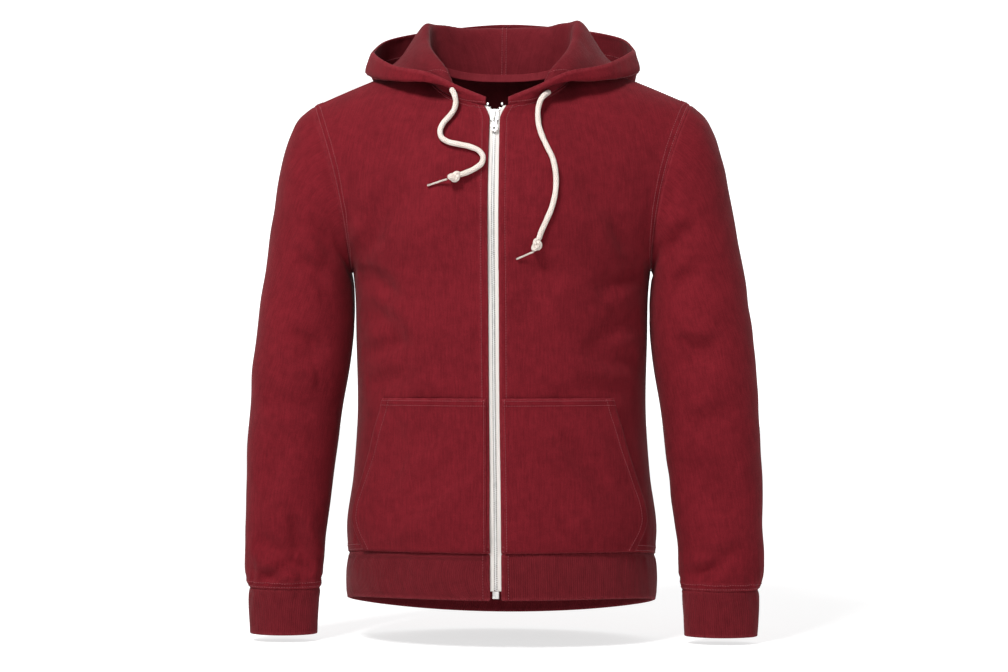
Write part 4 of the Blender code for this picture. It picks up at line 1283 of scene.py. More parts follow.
def puckers(distance: Array, along: Array, depth: float, pitch: float, reach: float, seed: int) -> Array:
    """Small uneven gathers that run away from a seam and fade.

    Args:
        distance: how far each point is from the seam.
        along: how far it is along the seam.
        depth: the gathers' height.
        pitch: their rough spacing.
        reach: how far they run.
        seed: picks their unevenness.

    Returns:
        How far each point moves out.
    """
    draw = np.random.default_rng(seed)
    total = np.zeros(np.broadcast(distance, along).shape)
    for scale in (1.0, 0.62, 1.7, 2.6):
        phase = draw.uniform(0, 2 * math.pi)
        slant = draw.uniform(-0.35, 0.35)
        total = total + np.sin(2 * math.pi * (along + slant * distance) / (pitch * scale) + phase)
    return total / 3 * depth * np.exp(-distance / reach) * eased(distance, 0.0006, 0.008) * 1.3


# ---------------------------------------------------------------------------------------------------------
# The workshop: everything goes into the scene and onto the frame here


class Workshop:
    """Adds finished pieces to the scene and ties each to the frame."""

    def __init__(self) -> None:
        self.stitch_template, self.stitch_faces = self.stitch_shape()

    def add(self, name: str, mesh: bpy.types.Mesh, finishes: Iterable[bpy.types.Material], slot: str,
            nodes: Sequence[str] = (), body: str = "root") -> bpy.types.Object:
        """A finished piece in the scene.

        Args:
            name: the piece's name.
            mesh: its mesh, already in its place.
            finishes: its materials.
            slot: the record's slot that they stand for; not used.
            nodes: the solids that it replaces.
            body: the body that it moves with.

        Returns:
            The piece.
        """
        piece = bpy.data.objects.new(name, mesh)
        for finish in finishes:
            mesh.materials.append(finish)
        bpy.context.scene.collection.objects.link(piece)
        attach(piece, body)
        if nodes:
            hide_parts(*nodes)
        LOG.info("%s: %d faces", name, len(mesh.polygons))
        return piece

    @staticmethod
    def stitch_shape() -> tuple[Array, Array]:
        """One stitch: a short thread, square in section, whose two ends go down into the cloth."""
        ring = np.array([(1, 0), (0, 1), (-1, 0), (0, -1)]) * 0.5
        rings = [np.column_stack([np.full(4, x), ring]) for x in (-0.32, 0.32)]
        points = np.concatenate([*rings, [(-0.5, 0, -0.7), (0.5, 0, -0.7)]])
        faces = []
        for k in range(4):
            n = (k + 1) % 4
            faces += [(k, n, 4 + n), (k, 4 + n, 4 + k), (n, k, 8), (4 + k, 4 + n, 9)]
        return points, np.array(faces)

    def stitches(self, name: str, lines: Sequence[Line], finish: bpy.types.Material, slot: str = "fleece",
                 pitch: float = 0.0031, thick: float = 0.0008, body: str = "root") -> bpy.types.Object:
        """Rows of stitches on lines of the cloth, as one piece.

        Args:
            name: the piece's name.
            lines: the lines.
            finish: the thread's material.
            slot: the record's slot; not used.
            pitch: from one stitch to the next.
            thick: the thread's thickness.
            body: the body that it moves with.

        Returns:
            The piece.
        """
        places, axes = [], []
        for line in lines:
            count = max(int(line.length / pitch), 1)
            at = (np.arange(count) + 0.5) * line.length / count
            points, along, out = line.read(at)
            side = unit(np.cross(out, along))
            places.append(points + out * thick * 0.4)
            axes.append(np.stack([along, side, np.cross(along, side)], axis=1))
        places, axes = np.concatenate(places), np.concatenate(axes)
        sizes = np.tile([pitch * 0.78, thick, thick], (len(places), 1))
        mesh = repeated(name, self.stitch_template, self.stitch_faces, places, axes, sizes)
        return self.add(name, mesh, [finish], slot, body=body)


SHOP = Workshop()
FLEECE = Cloth("fleece_face").material()
BRUSHED = Cloth("fleece_back", deep=(0.060, 0.0040, 0.0066), pale=(0.112, 0.0088, 0.013), nap=0.0006).material()
RIB = Cloth("rib_knit", deep=(0.088, 0.0050, 0.0084), pale=(0.140, 0.0100, 0.0155), rib=0.0026, rib_depth=0.0004,
            sheen=0.07).material()
LINING = Cloth("hood_jersey", deep=(0.086, 0.0050, 0.0084), pale=(0.130, 0.0094, 0.0148), sheen=0.07).material()
NECK_TAPE = Cloth("neck_tape_twill", deep=(0.14, 0.0120, 0.018), pale=(0.20, 0.0200, 0.028), wale=0.0016).material()
CORD = Braid("cord_braid").material()
ZIP_TAPE = Woven("zip_tape_weave").material()
ZIP_METAL = Metal("zip_satin_metal").material()
TEETH_METAL = Metal("zip_teeth_metal", bright=(0.82, 0.81, 0.79), dull=(0.60, 0.59, 0.58), rough=0.38).material()
THREAD = Thread("matched_thread").material()


# ---------------------------------------------------------------------------------------------------------
# Camera, light and floor


@dataclass
class Studio:
    """A level camera, a pale floor that the light turns white, and soft light from all round the front."""

    distance: float = 3.0
    azimuth: float = 3.0
    target: tuple = (0.003, 0.0, -0.336)
    lens: float = 88.0
    floor_height: float = -0.704
    floor_reach: float = 14.0
    wall_distance: float = 7.0

    def camera(self) -> None:
        """The camera, a little to the right of square on."""
        turn = math.radians(self.azimuth)
        data = bpy.data.cameras.new("camera")
        data.lens, data.sensor_width = self.lens, 36.0
        data.clip_start, data.clip_end = 0.05, 60
        camera = bpy.data.objects.new("camera", data)
        x, y, z = self.target
        camera.location = (x + self.distance * math.sin(turn), y - self.distance * math.cos(turn), z)
        camera.rotation_euler = (math.pi / 2, 0, turn)
        bpy.context.scene.collection.objects.link(camera)
        bpy.context.scene.camera = camera

    def light(self, name: str, place: tuple, size: float, power: float) -> None:
        """One square soft light that looks at the garment's middle."""
        data = bpy.data.lights.new(name, "AREA")
        data.shape, data.size, data.energy = "SQUARE", size, power
        lamp = bpy.data.objects.new(name, data)
        lamp.location = place
        way = np.array(self.target) - np.array(place)
        lamp.rotation_euler = (
            math.acos(-way[2] / np.linalg.norm(way)), 0, math.atan2(way[1], way[0]) - math.pi / 2
        )
        bpy.context.scene.collection.objects.link(lamp)

    def build(self) -> None:
        """The camera, the lights, the backdrop and the floor."""
        self.camera()
        self.light("key_light", (-1.0, -1.9, 2.3), 0.9, 138)
        self.light("fill_light", (1.2, -3.2, 0.2), 2.0, 16)
        self.light("back_light", (0.6, 2.2, 2.2), 2.0, 18)
        scene = bpy.context.scene
        scene.view_settings.view_transform = "Standard"
        world = bpy.data.worlds.new("studio")
        world.use_nodes = True
        ground = world.node_tree.nodes["Background"]
        ground.inputs["Color"].default_value = rgba(1.0, 1.0, 1.0)
        ground.inputs["Strength"].default_value = 0.20
        scene.world = world
        reach, height = self.floor_reach, self.floor_height
        corners = np.array([(-reach, -reach, height), (reach, -reach, height), (reach, reach, height),
                            (-reach, reach, height)])
        floor = bpy.data.objects.new("floor", mesh_of("floor", corners, np.array([[0, 1, 2, 3]])))
        floor.data.materials.append(Paper().material())
        scene.collection.objects.link(floor)
        far, tall = self.wall_distance, 12.0
        low = height - 1
        corners = np.array([(-reach, far, low), (reach, far, low), (reach, far, tall), (-reach, far, tall)])
        wall_sheet = bpy.data.objects.new("backdrop", mesh_of("backdrop", corners, np.array([[0, 1, 2, 3]])))
        wall_sheet.data.materials.append(Paper("studio_backdrop", glow=1.0).material())
        scene.collection.objects.link(wall_sheet)


# ---------------------------------------------------------------------------------------------------------
# Drawcords


@dataclass
class Drawcords:
    """Two braided cords that come out of the hood's lower band, each with an overhand knot and a tail."""

    diameter: float = 0.0065
    knot: tuple = (0.0118, 0.0100, 0.0155)
    tail: float = 0.0022
    points: int = 26
    routes: dict = field(default_factory=lambda: {
        Side.LEFT: (
            (-53.5, -92.7, -45.5), (-50.5, -95.7, -51.5), (-49.0, -96.2, -59.5), (-50.5, -96.7, -68.0),
            (-56.0, -98.2, -76.5), (-62.8, -101.2, -84.5), (-66.6, -104.9, -93.6), (-65.3, -108.5, -101.8),
            (-57.8, -111.9, -107.6), (-45.2, -115.5, -111.0), (-30.0, -117.7, -114.6), (-19.6, -119.2, -119.7),
            (-15.2, -120.7, -126.8), (-16.6, -121.7, -133.6), (-23.8, -123.2, -139.8), (-33.0, -125.7, -144.6),
            (-40.5, -127.2, -147.4),
        ),
        Side.RIGHT: (
            (59.5, -78.3, -47.5), (55.2, -86.8, -51.5), (51.2, -92.3, -57.5), (48.6, -95.8, -66.5),
            (48.2, -100.6, -78.0), (49.8, -106.0, -90.0), (53.6, -110.0, -101.5), (60.0, -114.8, -115.5),
            (65.8, -118.0, -127.5), (69.0, -120.8, -140.0), (70.3, -123.4, -155.0), (69.2, -126.0, -170.3),
            (65.5, -127.8, -186.0), (58.9, -129.4, -202.0), (53.2, -130.6, -214.8), (50.6, -131.6, -222.6),
        ),
    })
    tails: dict = field(default_factory=lambda: {
        Side.LEFT: ((-57.4, -126.5, -153.0), (-65.0, -123.0, -155.0), (-73.0, -120.5, -157.5), (-80.0, -119.1, -159.6)),
        Side.RIGHT: ((44.0, -131.8, -238.2), (38.0, -130.4, -240.6), (31.0, -129.2, -243.6), (25.0, -128.8, -246.2)),
    })

    def path(self, side: Side, count: int) -> Array:
        """The cord's middle line, smooth through its route."""
        stops = np.array(self.routes[side]) * MM
        knots = np.concatenate([[0], np.cumsum(np.linalg.norm(np.diff(stops, axis=0), axis=1))])
        return smooth(knots, stops, np.linspace(0, knots[-1], count))

    def overhand(self, side: Side) -> bpy.types.Mesh:
        """The knot: a tube along a trefoil, drawn tight into the knot's own size.

        The trefoil is x = sin t + 2 sin 2t, y = cos t - 2 cos 2t, z = -sin 3t.
        """
        path = self.path(side, self.points)
        along = unit(path[-1] - path[-2])
        centre = path[-1] + along * (self.knot[2] / 2 + CUT.seam_gap)
        t = np.linspace(0, 2 * math.pi, 96, endpoint=False)
        loop = np.stack([np.sin(t) + 2 * np.sin(2 * t), np.cos(t) - 2 * np.cos(2 * t), -1.6 * np.sin(3 * t)], -1)
        thick = 0.0029
        reach = np.array([self.knot[2], self.knot[0], self.knot[1]]) / 2 + 0.0006 - thick
        loop = loop / np.abs(loop).max(0) * reach
        across = unit(np.cross(along, (0, -1, 0)))
        axes = np.stack([along, across, np.cross(along, across)])
        return tube(f"cord_knot_{side.label}", centre + loop @ axes, thick, 14, axes[2], closed=True)

    def build(self) -> None:
        """Both cords with what is on them."""
        forward = np.array([0.0, -1.0, 0.0])
        for side, route in self.routes.items():
            name = side.label
            path = self.path(side, 220)
            turn = np.linspace(0, 2 * math.pi, 24, endpoint=False)
            far = np.linspace(0, 1, len(path))[:, None]
            wobble = 1 + 0.025 * np.sin(far * 61 + 2 * np.sin(turn * 1)) + 0.02 * np.sin(far * 23 + 1)
            radius = self.diameter / 2 * wobble * 0.985
            cord = SHOP.add(f"drawcord_{name}_braided", tube("cord", path, radius, 24, forward), [CORD],
                            "drawcord_cotton", [f"drawcord_{name}"])
            knot = SHOP.add(f"drawcord_{name}_knot", self.overhand(side), [CORD], "drawcord_cotton",
                            [f"drawcord_knot_{name}"])
            stops = np.array(self.tails[side]) * MM
            knots = np.arange(len(stops))
            line = smooth(knots, stops, np.linspace(0, len(stops) - 1, 40))
            end = SHOP.add(f"drawcord_{name}_tail", tube("tail", line, self.tail / 2, 12, forward), [CORD],
                           "drawcord_cotton", [f"drawcord_tail_{name}"])
            coarse = self.path(side, self.points)


# ---------------------------------------------------------------------------------------------------------
# The body


@dataclass
class Body:
    """The two fronts, the one-piece back and the rib hem."""

    step: float = 0.0042
    seam: float = CUT.fleece / 2
    placket_row: float = 0.0074
    neck_row: float = 0.0030
    twin_rows: tuple = (0.0022, 0.0080)
    allowance: float = 0.009
    quarter: float = 0.268
    below_underarm: float = 0.334
    over_underarm: float = 0.240
    hem_step: float = 0.0036
    hem_height: float = 0.054
    rest: float = 0.014

    def half(self, front: bool) -> Panel:
        """A front, or half the back, before its folds."""
        u = spaced(self.quarter, self.step, front, True, self.seam)
        down = 1 - spaced(self.below_underarm, self.step, True, False, self.seam)
        t = spaced(self.over_underarm, self.step, False, True, self.seam)
        points = self.softened(FORM.half_panel(front, u, down[:-1], t))
        out = grid_normals(points)
        return Panel(points, out if front else -out)

    @staticmethod
    def softened(points: Array) -> Array:
        """The grid with the corner at the neck's end eased out of its upper part.

        Each inner point moves to the mean of its four neighbours, over and over, by a share that rises
        towards the top.
        """
        moved = points.copy()
        share = np.linspace(0, 1, len(points))[1:-1, None, None]
        weight = eased(share, 0.62, 0.80) * 0.5
        for _ in range(60):
            mean = (moved[:-2, 1:-1] + moved[2:, 1:-1] + moved[1:-1, :-2] + moved[1:-1, 2:]) / 4
            moved[1:-1, 1:-1] += (mean - moved[1:-1, 1:-1]) * weight
        return moved

    def finished(self, panel: Panel, piece: str) -> tuple[Panel, Array]:
        """A panel with its folds and seams, and how worn it is.

        Args:
            panel: the panel on its plain form.
            piece: front or back.

        Returns:
            The panel and its wear.
        """
        points = FORM.off_middle(panel.points)
        panel = Panel(points, panel.out)
        hem, top = panel.off(Edge.FIRST_ROW), panel.off(Edge.LAST_ROW)
        side = panel.off(Edge.LAST_COLUMN)
        middle = panel.off(Edge.FIRST_COLUMN)
        if piece == "back":
            side = np.minimum(side, middle)
        clear = np.minimum(eased(side, 0.0, 0.03) + (points[..., 2] > CUT.underarm + 0.03), 1)
        clear = clear * eased(np.minimum(np.minimum(hem, side), top), 0.0, self.rest)
        amount = FOLDS.relief(piece, panel) * clear
        amount += rumple(points, 0.11, 5) * 0.0009 * clear + rumple(points, 0.045, 9) * 0.00035 * clear
        high = points[..., 2] > CUT.underarm + 0.004
        doubled = seam_relief(side, self.twin_rows, self.allowance)
        amount += np.where(high, doubled, seam_relief(side))
        amount += seam_relief(hem, self.twin_rows, self.allowance)
        amount += seam_relief(top, (self.neck_row,), 0.0)
        along = panel.lengths(1)
        amount += puckers(hem, along, 0.0011, 0.019, 0.020, 3) * clear
        amount += np.where(high, puckers(side, panel.lengths(0), 0.0007, 0.017, 0.012, 4), 0)
        worn = 0.55 * hump(hem, 0.001, 0.002) + 0.35 * hump(hem, 0.008, 0.0012)
        worn += np.where(high, 0.35 * hump(side, 0.001, 0.0016) + 0.3 * hump(side, 0.008, 0.0012), 0)
        if piece == "front":
            row = self.placket_row
            amount += seam_relief(middle, (row,), row) + puckers(middle, panel.lengths(0), 0.0005, 0.016, 0.014, 6)
            worn += 0.5 * hump(middle, 0.0006, 0.0014) + 0.45 * hump(middle, row + 0.0008, 0.0010)
        return panel.raised(amount), np.clip(worn, 0, 1)

    def build(self) -> None:
        """The fronts, the back, the hem and their topstitching."""
        front = self.half(True)
        lines = []
        for side in Side:
            half = front if side is Side.RIGHT else front.other_side()
            panel, worn = self.finished(half, "front")
            name = f"front_{side.label}"
            piece = SHOP.add(f"{name}_cloth", wall(name, panel, CUT.fleece, worn), [FLEECE, BRUSHED], "fleece", [name])
            lines.append(panel.line(Edge.FIRST_COLUMN, self.placket_row))
            lines.extend(panel.line(Edge.FIRST_ROW, row) for row in self.twin_rows)
            lines.extend(self.above_underarm(panel, Edge.LAST_COLUMN, row) for row in self.twin_rows)
            lines.append(panel.line(Edge.LAST_ROW, self.neck_row))
        half = self.half(False)
        left = half.other_side()
        whole = Panel(
            np.concatenate([left.points[:, :0:-1], half.points], 1),
            np.concatenate([left.out[:, :0:-1], half.out], 1),
        )
        panel, worn = self.finished(whole, "back")
        piece = SHOP.add("back_cloth", wall("back", panel, CUT.fleece, worn), [FLEECE, BRUSHED], "fleece", ["back"])
        lines.extend(panel.line(Edge.FIRST_ROW, row) for row in self.twin_rows)
        for edge in (Edge.FIRST_COLUMN, Edge.LAST_COLUMN):
            lines.extend(self.above_underarm(panel, edge, row) for row in self.twin_rows)
        lines.append(panel.line(Edge.LAST_ROW, self.neck_row))
        SHOP.stitches("body_topstitching", lines, THREAD)
        self.hem()

    @staticmethod
    def above_underarm(panel: Panel, edge: Edge, distance: float) -> Line:
        """The part of a side's line that runs along the armhole."""
        line = panel.line(edge, distance)
        high = line.points[:, 2] > CUT.underarm
        return Line(line.points[high], line.out[high])

    def hem(self) -> None:
        """The rib hem, one band from one side of the zip round the back to the other."""
        u = spaced(self.quarter, self.step, True, False, CUT.rib / 2)
        quarter = FORM.angle_round(True, u)
        back = FORM.angle_round(False, np.linspace(0, 1, len(u)))[::-1]
        half = np.concatenate([quarter, back[1:]])
        around = np.concatenate([half, 2 * math.pi - half[-2::-1]])[None, :]
        edge = CUT.rib / 2 - CUT.seam_gap
        down = (1 - spaced(self.hem_height, self.hem_step, True, True, edge))[:, None]
        seam = CUT.hem_seam - FORM.drop(around)
        points = FORM.ring(HEM_BAND, down, around, mixed(seam, CUT.hem_edge - FORM.drop(around), down))
        panel = Panel(FORM.off_middle(points), unit(points * np.array([1, 2, 0])))
        top, low = panel.off(Edge.LAST_ROW), panel.off(Edge.FIRST_ROW)
        along = panel.lengths(1)
        amount = seam_relief(top) + puckers(top, along, 0.0010, 0.019, 0.016, 3)
        amount += rumple(points, 0.07, 12) * 0.0008 * eased(top, 0.0, self.rest)
        amount += puckers(low, along, 0.0006, 0.03, 0.02, 8)
        ends = np.minimum(panel.off(Edge.FIRST_COLUMN), panel.off(Edge.LAST_COLUMN))
        amount += seam_relief(ends, (self.placket_row,), self.placket_row)
        worn = 0.5 * hump(low, 0.0, 0.0022) + 0.35 * hump(top, 0.0, 0.002) + 0.4 * hump(ends, 0.0006, 0.0014)
        panel = panel.raised(amount)
        piece = SHOP.add("hem_band_rib", wall("hem_band", panel, CUT.rib, np.clip(worn, 0, 1)), [RIB, RIB], "rib",
                         ["hem_band"])
        rows = [panel.line(edge, self.placket_row) for edge in (Edge.FIRST_COLUMN, Edge.LAST_COLUMN)]
        SHOP.stitches("hem_band_topstitching", rows, THREAD, "rib")


# ---------------------------------------------------------------------------------------------------------
# Sleeves


@dataclass
class Sleeves:
    """Both sleeves and their rib cuffs."""

    step: float = 0.0042
    around: int = 104
    rows: tuple = (0.0024, 0.0078)

    def build(self) -> None:
        """Both sleeves, their cuffs and their topstitching."""
        turn = np.linspace(0, 2 * math.pi, self.around, endpoint=False)[None, :]
        gap = CUT.fleece / 2
        along = spaced(0.60, self.step, True, True, gap)[:, None]
        lines = []
        for side in Side:
            name = side.label
            wider = side is Side.RIGHT
            points = FORM.sleeve_section(SLEEVE, *np.broadcast_arrays(along, turn), wider)
            first = FORM.sleeve_section(SLEEVE, *np.broadcast_arrays(np.zeros((1, 1)), turn), wider)
            scoop = (FORM.armhole(turn[0])[0] - first[0]) * np.array([1, 0, 0])
            points = points + scoop[None] * np.clip(1 - along / 0.15, 0, 1)[..., None] ** 1.5
            points = FORM.clear_of_body(points)
            panel = Panel(points, -grid_normals(points, closed=True), closed=True)
            if side is Side.LEFT:
                panel = panel.other_side()
            panel, worn = self.finished(panel)
            piece = SHOP.add(f"sleeve_{name}_cloth", wall("sleeve", panel, CUT.fleece, worn), [FLEECE, BRUSHED],
                             "fleece", [f"sleeve_{name}"])
            lines.extend(panel.line(Edge.LAST_ROW, row) for row in self.rows)
            self.cuff(side, turn)
        SHOP.stitches("sleeve_topstitching", lines, THREAD)

    def finished(self, panel: Panel) -> tuple[Panel, Array]:
        """A sleeve with its folds, its gathers above the cuff and its seams, and how worn it is."""
        points, out = panel.points, panel.out
        start, end = panel.off(Edge.FIRST_ROW), panel.off(Edge.LAST_ROW)
        inward = -out[..., 0] * np.sign(points[..., 0])
        low = -points[..., 2]
        touching = eased(inward, 0.2, 0.7) * (1 - eased(low, 0.44, 0.52)) * eased(low, 0.22, 0.26)
        free = (1 - touching) * eased(np.minimum(start, end), 0.0, 0.014)
        amount = FOLDS.relief("sleeve", panel) * free
        amount += rumple(points, 0.09, 21) * 0.0010 * free + rumple(points, 0.04, 22) * 0.0004 * free
        ring = panel.lengths(1)
        amount += puckers(end, ring, 0.0016, 0.020, 0.024, 31)
        amount += puckers(start, ring, 0.0006, 0.018, 0.012, 4) * free
        amount += seam_relief(end, self.rows, 0.009) + seam_relief(start)
        amount = np.where(touching > 0.3, np.minimum(amount, 0.0003), amount)
        worn = 0.5 * hump(end, 0.001, 0.002) + 0.35 * hump(end, 0.0085, 0.0012) + 0.35 * hump(start, 0.0006, 0.0016)
        return panel.raised(amount), np.clip(worn, 0, 1)

    def cuff(self, side: Side, turn: Array) -> None:
        """One rib cuff."""
        name = side.label
        along = spaced(0.055, 0.0036, True, True, CUT.rib / 2 - CUT.seam_gap)[:, None]
        points = FORM.sleeve_section(CUFF, *np.broadcast_arrays(along, turn), side is Side.RIGHT)
        panel = Panel(points, -grid_normals(points, closed=True), closed=True)
        if side is Side.LEFT:
            panel = panel.other_side()
        top, low = panel.off(Edge.FIRST_ROW), panel.off(Edge.LAST_ROW)
        ring = panel.lengths(1)
        amount = seam_relief(top) + puckers(top, ring, 0.0012, 0.020, 0.014, 31) 
        amount += rumple(points, 0.05, 41) * 0.0007 * eased(top, 0.0, 0.014)
        amount += puckers(low, ring, 0.0006, 0.026, 0.016, 43)
        worn = 0.5 * hump(low, 0.0, 0.0022) + 0.3 * hump(top, 0.0, 0.002)
        panel = panel.raised(amount)
        piece = SHOP.add(f"cuff_{name}_rib", wall("cuff", panel, CUT.rib, np.clip(worn, 0, 1)), [RIB, RIB], "rib",
                         [f"cuff_{name}"])


# ---------------------------------------------------------------------------------------------------------
# Pockets


@dataclass
class Pockets:
    """The two patch pockets on the fronts, each open along its slanting side."""

    lift: float = 0.0013
    edge_row: float = 0.0022
    mouth_row: float = 0.0125

    def build(self) -> None:
        """Both pockets and their topstitching."""
        lines = []
        rows = spaced(0.185, 0.0034, True, True, CUT.pocket_wall / 2)
        share = spaced(0.150, 0.0034, True, True, CUT.pocket_wall / 2)
        down = (1 - rows)[:, None]
        u = mixed(0.012, POCKET("round", down), share[None, :])
        body_down = POCKET("body_down", down) + 0 * u
        points = FORM.lower(True, u, body_down)
        base = Panel(points, grid_normals(points))
        for side in Side:
            half = base if side is Side.RIGHT else base.other_side()
            panel = Panel(FORM.off_middle(half.points), half.out)
            low, top = panel.off(Edge.FIRST_ROW), panel.off(Edge.LAST_ROW)
            inner, mouth = panel.off(Edge.FIRST_COLUMN), panel.off(Edge.LAST_COLUMN)
            sewn = np.minimum(np.minimum(low, top), inner)
            puff = eased(sewn, 0.0, 0.045) * (0.0016 + 0.0012 * (1 - eased(mouth, 0.0, 0.06)))
            amount = self.lift + CUT.pocket_wall + puff + np.abs(rumple(points, 0.06, 51 + side.value)) * 0.0006
            amount = amount + FOLDS.relief("pocket", panel) * eased(sewn, 0.0, 0.012) * 0.9
            amount += rumple(FORM.off_middle(half.points), 0.11, 5) * 0.0009
            amount += seam_relief(top, (self.edge_row, 0.0080), 0.009) + seam_relief(inner, (self.edge_row,), 0.004)
            amount += seam_relief(mouth, (self.mouth_row,), self.mouth_row) + seam_relief(low)
            amount = np.maximum(amount, self.lift + CUT.pocket_wall - 0.0004)
            worn = 0.6 * hump(mouth, 0.0, 0.0022) + 0.5 * hump(top, 0.0, 0.002) + 0.35 * hump(inner, 0.0, 0.0016)
            worn += 0.3 * hump(mouth, self.mouth_row + 0.001, 0.0012)
            panel = panel.raised(amount)
            name = f"pocket_{side.label}"
            piece = SHOP.add(f"{name}_cloth", wall(name, panel, CUT.pocket_wall, np.clip(worn, 0, 1)),
                             [FLEECE, BRUSHED], "fleece", [name])
            f"front_{side.label}"
            lines += [panel.line(Edge.LAST_ROW, self.edge_row), panel.line(Edge.LAST_ROW, 0.0080),
                      panel.line(Edge.FIRST_COLUMN, self.edge_row), panel.line(Edge.LAST_COLUMN, self.mouth_row)]
        SHOP.stitches("pocket_topstitching", lines, THREAD)


# ---------------------------------------------------------------------------------------------------------
# Hood


